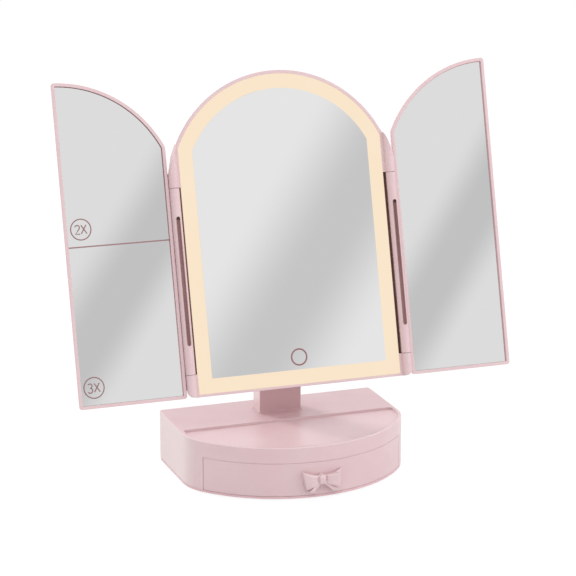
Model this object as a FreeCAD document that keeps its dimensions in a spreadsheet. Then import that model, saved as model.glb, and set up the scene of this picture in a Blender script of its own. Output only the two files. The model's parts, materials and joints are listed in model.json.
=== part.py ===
import FreeCAD, Part
import math
import os
import Sketcher
from FreeCAD import Placement, Rotation, Vector

# Trifold vanity mirror on a D-shaped base with a drawer.
# Millimetres, +Z up, +Y to the back. The origin is on the floor, under the middle of the whole object.
# The three mirrors are drawn in the panel frame: its X axis is the tilt axis, Z runs up the panel and
# Y to its back. Every panel piece gets the same placement, which tilts that frame about the tilt axis.

doc = FreeCAD.newDocument("TrifoldVanityMirror")
sheet = doc.addObject("Spreadsheet::Sheet", "Sizes")
nodes = {}


# ---------------------------------------------------------------- sizes

class Size:
    """A length or angle: its number, and the spreadsheet expression that gives it."""

    def __init__(self, value, text):
        self.value = value
        self.text = text

    def __add__(self, other):
        other = as_size(other)
        return Size(self.value + other.value, f"({self.text} + {other.text})")

    def __sub__(self, other):
        other = as_size(other)
        return Size(self.value - other.value, f"({self.text} - {other.text})")

    def __mul__(self, other):
        other = as_size(other)
        return Size(self.value * other.value, f"({self.text} * {other.text})")

    def __truediv__(self, other):
        other = as_size(other)
        return Size(self.value / other.value, f"({self.text} / {other.text})")

    def __neg__(self):
        return Size(-self.value, f"(0 - {self.text})")


def as_size(number):
    if isinstance(number, Size):
        return number
    return Size(float(number), f"({number})")


def root(number):
    return Size(math.sqrt(number.value), f"sqrt({number.text})")


def size(alias, value, note):
    """Write one driving size into the next row of the sheet."""
    size.row += 1
    sheet.set(f"A{size.row}", note)
    sheet.set(f"B{size.row}", str(value))
    sheet.setAlias(f"B{size.row}", alias)
    return Size(float(value), f"Sizes.{alias}")


size.row = 0
ZERO = as_size(0)

# Base casing
base_width = size("base_width", 187, "width of the base")
base_depth = size("base_depth", 131.5, "depth of the base")
base_height = size("base_height", 43.4, "floor to the top of the base")
base_front_radius = size("base_front_radius", 107, "radius of the curved front")
base_corner_radius = size("base_corner_radius", 41, "corner between front and sides")
base_back_radius = size("base_back_radius", 3, "vertical corners at the back")
base_wall = size("base_wall", 2.2, "side walls of the casing")
base_roof = size("base_roof", 2.2, "top of the casing under the tray")
base_edge_round = size("base_edge_round", 0.9, "rounding of the top edge")
tray_depth = size("tray_depth", 1.5, "depth of the tray in the top")
tray_rim = size("tray_rim", 2.8, "rim round the tray")
tray_from_back = size("tray_from_back", 58, "back of the base to the tray")
tray_corner_radius = size("tray_corner_radius", 4, "back corners of the tray")
shell_boss_radius = size("shell_boss_radius", 3, "screw bosses in the casing")
shell_boss_inset = size("shell_boss_inset", 2.5, "boss centre to the inner wall")
front_boss_from_back = size("front_boss_from_back", 68, "back of the base to the front bosses")

# Bottom plate, feet and weight
plate_thickness = size("plate_thickness", 1.8, "bottom plate")
plate_inset = size("plate_inset", 0.3, "bottom plate inside the casing outline")
foot_height = size("foot_height", 1.0, "feet below the bottom plate")
foot_seat = size("foot_seat", 0.8, "depth of the seats for the feet")
foot_radius = size("foot_radius", 7, "feet")
foot_side_inset = size("foot_side_inset", 17, "side of the base to a rear foot")
foot_back_inset = size("foot_back_inset", 15, "back of the base to a rear foot")
foot_front_offset = size("foot_front_offset", 52, "middle of the base to a front foot")
foot_front_inset = size("foot_front_inset", 25, "front of the base to a front foot")
weight_length = size("weight_length", 120, "steel block, side to side")
weight_depth = size("weight_depth", 32, "steel block, front to back")
weight_height = size("weight_height", 12, "steel block, height")
weight_screw_offset = size("weight_screw_offset", 40, "middle to a block screw")
slide_gap = size("slide_gap", 0.3, "running gap round the drawer")

# Drawer
drawer_side_inset = size("drawer_side_inset", 9.5, "side of the base to the drawer front")
drawer_front_height = size("drawer_front_height", 26.9, "height of the drawer front")
drawer_front_thickness = size("drawer_front_thickness", 2.8, "wall of the drawer front")
drawer_box_inset = size("drawer_box_inset", 6, "side of the drawer front to the drawer box")
drawer_box_height = size("drawer_box_height", 23, "height of the drawer box")
rear_bay = size("rear_bay", 43, "back of the base to the drawer box")
drawer_wall = size("drawer_wall", 1.8, "walls and floor of the drawer box")
stop_tab_height = size("stop_tab_height", 8, "stop tabs above the drawer box")
stop_tab_width = size("stop_tab_width", 10, "stop tabs, side to side")
stop_tab_offset = size("stop_tab_offset", 60, "middle to a stop tab")
guide_height = size("guide_height", 6, "guide ribs on the bottom plate")
guide_thickness = size("guide_thickness", 2, "guide ribs")
rear_stop_width = size("rear_stop_width", 120, "stop rib behind the drawer")

# Bow-shaped pull
bow_reach = size("bow_reach", 7, "drawer front to the front of the pull")
bow_width = size("bow_width", 34, "tip to tip")
bow_loop_height = size("bow_loop_height", 13.5, "height at the tips")
bow_knot_height = size("bow_knot_height", 8, "height of the knot")
bow_knot_width = size("bow_knot_width", 5.6, "width of the knot")
bow_thickness = size("bow_thickness", 3.4, "front to back of a loop")
bow_knot_thickness = size("bow_knot_thickness", 5.4, "front to back of the knot")
bow_tail_length = size("bow_tail_length", 11.5, "knot to the end of a tail")
bow_tail_width = size("bow_tail_width", 4.6, "end of a tail")
bow_centre_height = size("bow_centre_height", 16.9, "floor to the middle of the knot")
bow_stem_radius = size("bow_stem_radius", 2.6, "stem against the drawer front")
bow_screw_radius = size("bow_screw_radius", 1.3, "screw of the pull")
bow_screw_reach = size("bow_screw_reach", 3.8, "that screw inside the pull")

# Neck and tilt hinge
neck_width = size("neck_width", 36, "width of the post")
neck_depth = size("neck_depth", 19, "depth of the post")
neck_wall = size("neck_wall", 2.6, "wall of the post")
neck_front_round = size("neck_front_round", 1.2, "front corners of the post")
neck_back_round = size("neck_back_round", 3, "back corners of the post")
neck_flare = size("neck_flare", 1.4, "flare at the foot of the post")
neck_from_back = size("neck_from_back", 30.5, "back of the base to the tilt axis")
neck_setback = size("neck_setback", 2, "middle of the post behind the tilt axis")
neck_boss_radius = size("neck_boss_radius", 5.2, "screw bosses inside the post")
neck_boss_height = size("neck_boss_height", 18, "height of those bosses")
neck_screw_offset = size("neck_screw_offset", 9, "middle to a neck screw")
clamp_thickness = size("clamp_thickness", 1.6, "clamp plate under the casing's top")
clamp_length = size("clamp_length", 64, "clamp plate, side to side")
clamp_depth = size("clamp_depth", 24, "clamp plate, front to back")
axis_height = size("axis_height", 199.9, "floor to the tilt axis")
tilt_angle = size("tilt_angle", 15, "degrees that the panel leans back at rest")
tilt_barrel_radius = size("tilt_barrel_radius", 8, "barrel on top of the post")
tilt_gap = size("tilt_gap", 1, "barrel to the plate of the tilt bracket")
tilt_top_web = size("tilt_top_web", 12, "axis to the hollow of the post")
tilt_bolt_radius = size("tilt_bolt_radius", 2, "tilt bolt")
tilt_bush_radius = size("tilt_bush_radius", 3.5, "outside of the bushes")
tilt_bush_length = size("tilt_bush_length", 8, "length of the bushes")
tilt_washer_thickness = size("tilt_washer_thickness", 0.4, "friction washers")
tilt_washer_radius = size("tilt_washer_radius", 7, "friction washers")
running_clearance = size("running_clearance", 0.06, "radial clearance of a turning pin")
seat_clearance = size("seat_clearance", 0.05, "flat clearance of a seated piece")
ear_thickness = size("ear_thickness", 4, "ears of the tilt bracket")
bracket_width = size("bracket_width", 64, "tilt bracket, side to side")
bracket_height = size("bracket_height", 40, "tilt bracket, up the panel")
bracket_thickness = size("bracket_thickness", 2.5, "plate of the tilt bracket")
bracket_screw_side = size("bracket_screw_side", 4.5, "side of the bracket to a screw")
bracket_screw_end = size("bracket_screw_end", 6, "end of the bracket to a screw")
bracket_boss_radius = size("bracket_boss_radius", 3, "bosses for the bracket screws")
bracket_boss_length = size("bracket_boss_length", 5.5, "bosses for the bracket screws")
bolt_head_radius = size("bolt_head_radius", 3.6, "head and nut of the tilt bolt")
bolt_head_length = size("bolt_head_length", 2.6, "head and nut of the tilt bolt")

# Centre panel. Depths are measured back from the front face of the glass.
axis_above_band = size("axis_above_band", 129, "tilt axis above the lower edge of the band")
arch_centre = size("arch_centre", 155.2, "centre of the arches above that edge")
band_half_width = size("band_half_width", 86, "middle to the outer edge of the band")
arch_flare = size("arch_flare", 8.9, "radius of the band's arch, beyond its half width")
band_width = size("band_width", 11.7, "light band")
rim_arch = size("rim_arch", 2.6, "rim round the band's arch")
rim_side = size("rim_side", 1.0, "rim beside the band")
rim_bottom = size("rim_bottom", 2.0, "rim below the band")
rim_proud = size("rim_proud", 0.4, "rim in front of the glass")
rim_edge = size("rim_edge", 1.1, "depth of the rim's upright edge")
rim_round = size("rim_round", 0.5, "rounding of the rim")
rim_taper = size("rim_taper", 1.2, "inset of the rim's back edge on the arch")
rim_side_taper = size("rim_side_taper", 0.4, "inset of the rim's back edge at the sides")
frame_depth = size("frame_depth", 4.6, "back of the centre frame")
ledge_width = size("ledge_width", 4.4, "ledge that carries the band")
diffuser_thickness = size("diffuser_thickness", 3.0, "frosted band")
fit_gap = size("fit_gap", 0.1, "gap round a glass or plastic insert")
glass_thickness = size("glass_thickness", 2.4, "centre glass")
cover_depth = size("cover_depth", 13.5, "back of the rear cover")
cover_taper = size("cover_taper", 4.3, "inset of the cover's back edge")
cover_wall = size("cover_wall", 1.6, "wall of the rear cover")
cover_round = size("cover_round", 1.5, "rounding of the cover's back edge")
light_tray_depth = size("light_tray_depth", 9.2, "back of the light tray")
light_tray_wall = size("light_tray_wall", 1.2, "walls of the light tray")
light_tray_inset = size("light_tray_inset", 3.6, "light tray inside the band outline")
plateau_lap = size("plateau_lap", 1.0, "lap of the band on the tray's plateau")
strip_thickness = size("strip_thickness", 0.4, "light strip")
strip_width = size("strip_width", 5, "light strip")
chip_length = size("chip_length", 3.5, "light chip")
chip_width = size("chip_width", 2.8, "light chip")
chip_height = size("chip_height", 0.8, "light chip")
chip_pitch = size("chip_pitch", 14, "spacing of the light chips")
touch_height = size("touch_height", 21.8, "touch mark above the band's lower edge")
touch_radius = size("touch_radius", 6, "touch spring")
spring_wall = size("spring_wall", 0.8, "wall of the touch spring")
touch_hole_radius = size("touch_hole_radius", 8, "hole for the touch spring")
board_width = size("board_width", 58, "control board, side to side")
board_height = size("board_height", 28, "control board, up the panel")
board_bottom = size("board_bottom", 13.2, "control board above the band's lower edge")
board_thickness = size("board_thickness", 1.2, "control board")
board_depth = size("board_depth", 9.0, "front face of the control board")
battery_width = size("battery_width", 70, "cell, side to side")
battery_height = size("battery_height", 36, "cell, up the panel")
battery_thickness = size("battery_thickness", 4.5, "cell")
battery_round = size("battery_round", 2.5, "corners of the cell")
battery_rise = size("battery_rise", 10.8, "cell above the centre of the arch")
lead_offset = size("lead_offset", 14, "middle to the battery lead")
lead_width = size("lead_width", 3, "battery lead")
lead_thickness = size("lead_thickness", 0.6, "battery lead")
lead_start = size("lead_start", 31, "lead's connector above the band's lower edge")
tail_offset = size("tail_offset", 15, "middle to the light strip's tail")
tail_width = size("tail_width", 6, "tail of the light strip")
tail_end = size("tail_end", 19, "end of the tail above the band's lower edge")
socket_width = size("socket_width", 9, "charging socket")
socket_height = size("socket_height", 3.4, "charging socket")
socket_wall = size("socket_wall", 0.5, "wall of the charging socket")
socket_above_band = size("socket_above_band", 34, "socket above the band's lower edge")
cover_boss_radius = size("cover_boss_radius", 2.75, "bosses for the cover screws")
cover_screw_inset = size("cover_screw_inset", 26, "side of the band to a cover screw")
cover_screw_top_inset = size("cover_screw_top_inset", 41, "side of the band to an upper cover screw")
cover_screw_low = size("cover_screw_low", 25, "lower cover screws above the band's edge")
cover_screw_mid = size("cover_screw_mid", 125, "middle cover screws above the band's edge")
cover_screw_rise = size("cover_screw_rise", 52.8, "upper cover screws above the centre of the arch")
screw_radius = size("screw_radius", 1.1, "small screws")
screw_head_radius = size("screw_head_radius", 2.4, "heads of the small screws")
screw_head_height = size("screw_head_height", 0.9, "heads of the small screws")
screw_drive_radius = size("screw_drive_radius", 1.2, "drive sockets of the small screws")
screw_drive_depth = size("screw_drive_depth", 0.5, "drive sockets of the small screws")
screw_length = size("screw_length", 6, "small screws under the head")
neck_screw_length = size("neck_screw_length", 16, "neck screws under the head")
hole_gap = size("hole_gap", 0.3, "screw hole larger than its screw")

# Side hinges
hinge_gap = size("hinge_gap", 1.1, "long barrel to the centre frame")
hinge_proud = size("hinge_proud", 1.2, "fold axis in front of the glass")
hinge_radius = size("hinge_radius", 3.9, "hinge barrels")
hinge_low = size("hinge_low", 16.4, "lower seam above the band's lower edge")
hinge_rise = size("hinge_rise", 9.1, "upper seam above the centre of the arch")
hinge_seam = size("hinge_seam", 0.4, "gap at a seam, and to the lip behind the long barrel")
knuckle_corner = size("knuckle_corner", 8, "rounding of the lower knuckles")
pin_radius = size("pin_radius", 1.5, "hinge pins")
pin_reach = size("pin_reach", 12, "pin inside each barrel")
sleeve_radius = size("sleeve_radius", 2.5, "sleeves on the pins")
slot_width = size("slot_width", 3.2, "groove in the long barrel")
slot_depth = size("slot_depth", 2.2, "groove in the long barrel")
slot_low_margin = size("slot_low_margin", 22.9, "lower seam to the groove")
slot_high_margin = size("slot_high_margin", 22.5, "groove to the upper seam")

# Wings
wing_gap = size("wing_gap", 0.2, "long barrel to the wing's inner edge")
wing_meeting_gap = size("wing_meeting_gap", 0.6, "gap between the two wings when folded")
wing_rim = size("wing_rim", 2.6, "rim of a wing")
wing_inner_round = size("wing_inner_round", 8, "corner between arch and inner edge")
wing_corner_round = size("wing_corner_round", 2.4, "other corners of a wing")
glass_corner_round = size("glass_corner_round", 0.6, "corners of a wing's glass")
wing_taper = size("wing_taper", 0.8, "inset of the wing frame's back edge")
wing_glass_recess = size("wing_glass_recess", 1.4, "wing glass behind the centre glass")
wing_glass_thickness = size("wing_glass_thickness", 1.5, "wing glass")
tape_thickness = size("tape_thickness", 0.6, "foam tape behind the glass")
tape_inset = size("tape_inset", 3, "edge of the glass to the tape")
wing_floor = size("wing_floor", 0.9, "floor behind a wing's glass")
web_front = size("web_front", 0.9, "web between barrel and wing, behind the glass front")
wing_back_depth = size("wing_back_depth", 7.4, "back of a wing's rear cover")
wing_back_taper = size("wing_back_taper", 2.2, "inset of its back edge")
wing_back_wall = size("wing_back_wall", 1.4, "wall of a wing's rear cover")
split_height = size("split_height", 124.2, "line between the two left glasses")
split_gap = size("split_gap", 0.8, "gap between them")
upper_tape_height = size("upper_tape_height", 60, "tape behind the upper left glass")

# Places that follow from the driving sizes
base_back = (base_depth + bow_reach) / 2
base_front = base_back - base_depth
front_centre = base_front + base_front_radius
half_base = base_width / 2
plate_top = foot_height + plate_thickness
ceiling = base_height - tray_depth - base_roof
neck_y = base_back - neck_from_back
drawer_bottom = plate_top + slide_gap
drawer_top = drawer_bottom + drawer_front_height
drawer_back = base_back - rear_bay
drawer_width = base_width - drawer_side_inset * 2
drawer_box_width = drawer_width - drawer_box_inset * 2
axis_behind_glass = cover_depth + bracket_thickness + tilt_gap + tilt_barrel_radius
front_face = -axis_behind_glass
side_wall = band_half_width + rim_side
band_radius = band_half_width + arch_flare
rim_radius = band_radius + rim_arch
battery_bottom = arch_centre + battery_rise
hinge_offset = side_wall + hinge_gap + hinge_radius
hinge_high = arch_centre + hinge_rise
slot_low = hinge_low + slot_low_margin
slot_high = hinge_high - slot_high_margin
wing_inner = hinge_offset + hinge_radius + wing_gap
wing_outer = hinge_offset * 2 - wing_meeting_gap / 2
wing_floor_front = wing_glass_recess + wing_glass_thickness + tape_thickness
wing_frame_depth = wing_floor_front + wing_floor
hinge_front = front_face - hinge_proud
panel_bottom = -rim_bottom
barrel_low = hinge_low + hinge_seam / 2
barrel_high = hinge_high - hinge_seam / 2
knuckle_top = hinge_low - hinge_seam / 2
knuckle_bottom = hinge_high + hinge_seam / 2


def depth(distance_behind_glass):
    """Y in the panel frame of a plane that lies this far behind the front of the glass."""
    return front_face + distance_behind_glass


def up(height_above_band):
    """Z in the panel frame of a height above the light band's lower edge."""
    return height_above_band - axis_above_band


# ---------------------------------------------------------------- drawing tools

def new_body(label):
    body = doc.addObject("PartDesign::Body", label)
    body.Label = label
    nodes[label] = body
    return body


def new_sketch(body, role, offset=ZERO):
    """Sketch on one of the body's origin planes, moved along that plane's normal."""
    plane = next(item for item in body.Origin.OriginFeatures if item.Role == role)
    sketch = body.newObject("Sketcher::SketchObject", f"{body.Name}_sketch")
    sketch.AttachmentSupport = [(plane, "")]
    sketch.MapMode = "FlatFace"
    sketch.AttachmentOffset = Placement(Vector(0, 0, offset.value), Rotation())
    sketch.setExpression(".AttachmentOffset.Base.z", offset.text)
    return sketch


def bind(sketch, constraint, amount):
    """Add a constraint and drive it from the sheet."""
    index = sketch.addConstraint(constraint)
    name = f"size{index}"
    sketch.renameConstraint(index, name)
    sketch.setExpression(f"Constraints.{name}", amount.text)


def place_point(sketch, geometry, position, x, y):
    bind(sketch, Sketcher.Constraint("DistanceX", -1, 1, geometry, position, x.value), x)
    bind(sketch, Sketcher.Constraint("DistanceY", -1, 1, geometry, position, y.value), y)


def arc_between(start, end, radius):
    """Shorter arc from start to end, counterclockwise for a positive radius."""
    bulge = 1 if radius > 0 else -1
    chord = end - start
    rise = math.sqrt(max(radius * radius - chord.Length ** 2 / 4, 0))
    left = Vector(-chord.y, chord.x, 0).normalize()
    centre = (start + end) / 2 + left * rise * bulge
    circle = Part.Circle(centre, Vector(0, 0, 1), abs(radius))
    first, last = (start, end) if bulge > 0 else (end, start)
    angle = [math.atan2(p.y - centre.y, p.x - centre.x) for p in (first, last)]
    return Part.ArcOfCircle(circle, angle[0], angle[1])


def draw_loop(sketch, path):
    """Closed outline. Each entry is x, y and the radius of the side that leaves that point, or None."""
    corners = [Vector(x.value, y.value, 0) for x, y, side in path]
    first = sketch.GeometryCount
    ends = []
    for index, (x, y, side) in enumerate(path):
        start = corners[index]
        end = corners[(index + 1) % len(path)]
        if side is None:
            geometry = sketch.addGeometry(Part.LineSegment(start, end), False)
            ends.append((geometry, 1, 2))
        else:
            geometry = sketch.addGeometry(arc_between(start, end, side.value), False)
            ends.append((geometry, 1, 2) if side.value > 0 else (geometry, 2, 1))
    for index in range(len(path)):
        side_here, start_here, end_here = ends[index]
        side_next, start_next, end_next = ends[(index + 1) % len(path)]
        sketch.addConstraint(Sketcher.Constraint("Coincident", side_here, end_here, side_next, start_next))
    for index, (x, y, side) in enumerate(path):
        place_point(sketch, ends[index][0], ends[index][1], x, y)
        if side is not None:
            radius = side if side.value > 0 else -side
            bind(sketch, Sketcher.Constraint("Radius", first + index, radius.value), radius)


def draw_circle(sketch, x, y, radius):
    circle = Part.Circle(Vector(x.value, y.value, 0), Vector(0, 0, 1), radius.value)
    geometry = sketch.addGeometry(circle, False)
    place_point(sketch, geometry, 3, x, y)
    bind(sketch, Sketcher.Constraint("Radius", geometry, radius.value), radius)


def draw_box(sketch, left, right, low, high):
    draw_loop(sketch, [(left, low, None), (right, low, None), (right, high, None), (left, high, None)])


def mirrored(path):
    """The same outline on the other side of X = 0, still counterclockwise."""
    count = len(path)
    order = range(count - 1, -1, -1)
    return [(-path[i][0], path[i][1], path[i - 1][2]) for i in order]


def on_side(path, side):
    return path if side > 0 else mirrored(path)


def extrude(body, kind, sketch, length, backwards=False, both=False):
    feature = body.newObject(kind, f"{body.Name}_step")
    feature.Profile = sketch
    feature.Length = length.value
    feature.setExpression("Length", length.text)
    feature.Reversed = backwards
    feature.Midplane = both
    sketch.Visibility = False
    return feature


def pad(body, sketch, length, backwards=False, both=False):
    return extrude(body, "PartDesign::Pad", sketch, length, backwards, both)


def pocket(body, sketch, length, backwards=False, both=False):
    """Cut against the sketch's normal, or along it where backwards is set. A cut that misses is an error."""
    doc.recompute()
    before = body.Shape.Volume
    feature = extrude(body, "PartDesign::Pocket", sketch, length, backwards, both)
    doc.recompute()
    if body.Shape.Volume >= before:
        raise RuntimeError(f"{feature.Label} of {body.Label} cuts nothing")
    return feature


def loft(body, kind, first, second):
    feature = body.newObject(kind, f"{body.Name}_loft")
    feature.Profile = first
    feature.Sections = [second]
    feature.Ruled = True
    return feature


def round_edges(body, radius, chosen):
    """Fillet the edges of the body's last feature that the test picks."""
    doc.recompute()
    base = body.Tip
    names = [f"Edge{n + 1}" for n, edge in enumerate(base.Shape.Edges) if chosen(edge)]
    fillet = body.newObject("PartDesign::Fillet", f"{body.Name}_round")
    fillet.Base = (base, names)
    fillet.Radius = radius.value
    fillet.setExpression("Radius", radius.text)
    doc.recompute()
    return fillet


def panel_placement():
    turn = Rotation(Vector(-1, 0, 0), tilt_angle.value)
    return Placement(Vector(0, neck_y.value, axis_height.value), turn)


def in_panel_frame(item):
    """Lean the piece back with the panel, about the tilt axis on top of the post."""
    item.Placement = panel_placement()
    item.setExpression(".Placement.Base.y", neck_y.text)
    item.setExpression(".Placement.Base.z", axis_height.text)
    item.setExpression(".Placement.Rotation.Angle", tilt_angle.text)


def feature_of(label, shapes, placement=None):
    """A group of like solids, such as screws, in one node."""
    item = doc.addObject("Part::Feature", label)
    item.Label = label
    item.Shape = Part.makeCompound(shapes) if len(shapes) > 1 else shapes[0]
    if placement:
        item.Placement = placement
    nodes[label] = item
    return item


def small_screw(foot, direction, length, shank_radius=screw_radius.value):
    """Screw whose head stands on foot and whose shank runs along direction, with a round drive socket."""
    top = foot - direction * screw_head_height.value
    head = Part.makeCylinder(screw_head_radius.value, screw_head_height.value, top, direction)
    shank = Part.makeCylinder(shank_radius, length, foot, direction)
    drive = Part.makeCylinder(screw_drive_radius.value, screw_drive_depth.value, top, direction)
    return head.fuse(shank).removeSplitter().cut(drive)


# ---------------------------------------------------------------- outlines

def base_outline(inset, back=base_back, back_radius=base_back_radius):
    """D shape, moved in by inset. Front and corner arcs keep their centres."""
    half = half_base - inset
    front_radius = base_front_radius - inset
    corner = base_corner_radius - inset
    rear = back - inset
    reach = base_front_radius - base_corner_radius
    corner_x = half_base - base_corner_radius
    drop = root(reach * reach - corner_x * corner_x)
    corner_y = front_centre - drop
    touch_x = corner_x * front_radius / reach
    touch_y = front_centre - drop * front_radius / reach
    return [
        (-touch_x, touch_y, front_radius),
        (touch_x, touch_y, corner),
        (half, corner_y, None),
        (half, rear - back_radius, back_radius),
        (half - back_radius, rear, None),
        (back_radius - half, rear, back_radius),
        (-half, rear - back_radius, None),
        (-half, corner_y, corner),
    ]


def arch_outline(half, radius, bottom):
    """Straight sides under an arch, all about the panel's middle line."""
    spring = up(arch_centre) + root(radius * radius - half * half)
    return [
        (-half, up(bottom), None),
        (half, up(bottom), None),
        (half, spring, radius),
        (-half, spring, None),
    ]


def band_outline(inset):
    """Outline of the light band, moved in by inset."""
    return arch_outline(band_half_width - inset, band_radius - inset, inset)


def wing_outline(inset, corner, inner_corner):
    """Right wing's outline, moved in by inset: quarter arch on the hinge side, upright outer edge."""
    left = wing_inner + inset
    right = wing_outer - inset
    bottom = up(panel_bottom + inset)
    centre_x = hinge_offset * 2
    centre_z = up(arch_centre)
    radius = rim_radius - inset
    outer_run = centre_x - right + corner
    outer_rise = root((radius - corner) * (radius - corner) - outer_run * outer_run)
    outer_scale = radius / (radius - corner)
    inner_run = centre_x - left - inner_corner
    inner_rise = root((radius - inner_corner) * (radius - inner_corner) - inner_run * inner_run)
    inner_scale = radius / (radius - inner_corner)
    return [
        (left + corner, bottom, None),
        (right - corner, bottom, corner),
        (right, bottom + corner, None),
        (right, centre_z + outer_rise, corner),
        (centre_x - outer_run * outer_scale, centre_z + outer_rise * outer_scale, radius),
        (centre_x - inner_run * inner_scale, centre_z + inner_rise * inner_scale, inner_corner),
        (left, centre_z + inner_rise, None),
        (left, bottom + corner, corner),
    ]


def post_outline(grow, front_round, back_round):
    """Section of the neck post, grown outwards by grow."""
    half = neck_width / 2 + grow
    front = neck_y + neck_setback - neck_depth / 2 - grow
    back = neck_y + neck_setback + neck_depth / 2 + grow
    return [
        (front_round - half, front, None),
        (half - front_round, front, front_round),
        (half, front + front_round, None),
        (half, back - back_round, back_round),
        (half - back_round, back, None),
        (back_round - half, back, back_round),
        (-half, back - back_round, None),
        (-half, front + front_round, front_round),
    ]


# ---------------------------------------------------------------- base

def sided(amount, side):
    return amount if side > 0 else -amount


def front_arc_y(x, inset):
    """Y of the curved front at x, moved in by inset."""
    radius = base_front_radius - inset
    return front_centre - root(radius * radius - x * x)


shell_boss_x = half_base - base_wall - shell_boss_inset
rear_boss_y = base_back - base_wall - shell_boss_inset
front_boss_y = base_back - front_boss_from_back
shell_bosses = [(sided(shell_boss_x, side), y) for y in (rear_boss_y, front_boss_y) for side in (-1, 1)]
weight_front = drawer_back + slide_gap + guide_thickness + slide_gap
weight_y = weight_front + weight_depth / 2
weight_screw_places = [(sided(weight_screw_offset, side), weight_y) for side in (-1, 1)]
neck_screw_places = [(sided(neck_screw_offset, side), neck_y) for side in (-1, 1)]
foot_places = []
for foot_side in (-1, 1):
    foot_places.append((sided(half_base - foot_side_inset, foot_side), base_back - foot_back_inset))
    foot_places.append((sided(foot_front_offset, foot_side), base_front + foot_front_inset))


def draw_circles(sketch, places, radius):
    for x, y in places:
        draw_circle(sketch, x, y, radius)


def make_base_shell():
    body = new_body("base_shell")
    sketch = new_sketch(body, "XY_Plane", plate_top)
    draw_loop(sketch, base_outline(ZERO))
    pad(body, sketch, base_height - plate_top)
    round_edges(body, base_edge_round, lambda edge: edge.BoundBox.ZMin > base_height.value - 0.01)

    sketch = new_sketch(body, "XY_Plane", base_height)
    draw_loop(sketch, base_outline(tray_rim, base_back - tray_from_back + tray_rim, tray_corner_radius))
    pocket(body, sketch, tray_depth)

    sketch = new_sketch(body, "XY_Plane", plate_top)
    draw_loop(sketch, base_outline(base_wall, base_back, base_back_radius - base_wall / 2))
    pocket(body, sketch, ceiling - plate_top, backwards=True)

    sketch = new_sketch(body, "XY_Plane", plate_top)
    draw_circles(sketch, shell_bosses, shell_boss_radius)
    pad(body, sketch, ceiling - plate_top)
    sketch = new_sketch(body, "XY_Plane", plate_top)
    draw_circles(sketch, shell_bosses, screw_radius)
    pocket(body, sketch, screw_length, backwards=True)

    mouth_half = drawer_width / 2 + slide_gap
    sketch = new_sketch(body, "XZ_Plane", -(front_arc_y(mouth_half, ZERO) + base_wall * 2))
    draw_box(sketch, -mouth_half, mouth_half, plate_top, drawer_top + slide_gap)
    pocket(body, sketch, base_depth, backwards=True)

    sketch = new_sketch(body, "XY_Plane", base_height)
    draw_circles(sketch, neck_screw_places, screw_radius + hole_gap)
    pocket(body, sketch, base_height - ceiling)


def make_base_plate():
    body = new_body("base_plate")
    sketch = new_sketch(body, "XY_Plane", foot_height)
    draw_loop(sketch, base_outline(plate_inset))
    pad(body, sketch, plate_thickness)

    guide_inner = drawer_box_width / 2 + slide_gap
    guide_outer = guide_inner + guide_thickness
    guide_start = front_arc_y(drawer_width / 2, drawer_front_thickness) + slide_gap
    sketch = new_sketch(body, "XY_Plane", plate_top)
    draw_box(sketch, guide_inner, guide_outer, guide_start, drawer_back)
    draw_box(sketch, -guide_outer, -guide_inner, guide_start, drawer_back)
    stop_half = rear_stop_width / 2
    stop_front = drawer_back + slide_gap
    draw_box(sketch, -stop_half, stop_half, stop_front, stop_front + guide_thickness)
    pad(body, sketch, guide_height)

    sketch = new_sketch(body, "XY_Plane", foot_height)
    draw_circles(sketch, foot_places, foot_radius)
    pocket(body, sketch, foot_seat, backwards=True)
    sketch = new_sketch(body, "XY_Plane", foot_height)
    draw_circles(sketch, shell_bosses + weight_screw_places, screw_radius + hole_gap)
    pocket(body, sketch, plate_thickness, backwards=True)
    sketch = new_sketch(body, "XY_Plane", foot_height)
    draw_circles(sketch, shell_bosses + weight_screw_places, screw_head_radius + hole_gap)
    pocket(body, sketch, screw_head_height, backwards=True)


def make_feet():
    thickness = (foot_height + foot_seat).value
    feet = []
    for x, y in foot_places:
        feet.append(Part.makeCylinder(foot_radius.value, thickness, Vector(x.value, y.value, 0)))
    feature_of("base_feet", feet)


def base_screw(x, y):
    foot = Vector(x.value, y.value, (foot_height + screw_head_height).value)
    return small_screw(foot, Vector(0, 0, 1), (screw_length - screw_head_height).value)


def make_base_fasteners():
    feature_of("base_screws", [base_screw(x, y) for x, y in shell_bosses])
    feature_of("weight_screws", [base_screw(x, y) for x, y in weight_screw_places])


def make_counterweight():
    body = new_body("counterweight")
    sketch = new_sketch(body, "XY_Plane", plate_top)
    half = weight_length / 2
    draw_box(sketch, -half, half, weight_front, weight_front + weight_depth)
    pad(body, sketch, weight_height)
    sketch = new_sketch(body, "XY_Plane", plate_top)
    draw_circles(sketch, weight_screw_places, screw_radius)
    pocket(body, sketch, screw_length, backwards=True)


# ---------------------------------------------------------------- drawer

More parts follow.
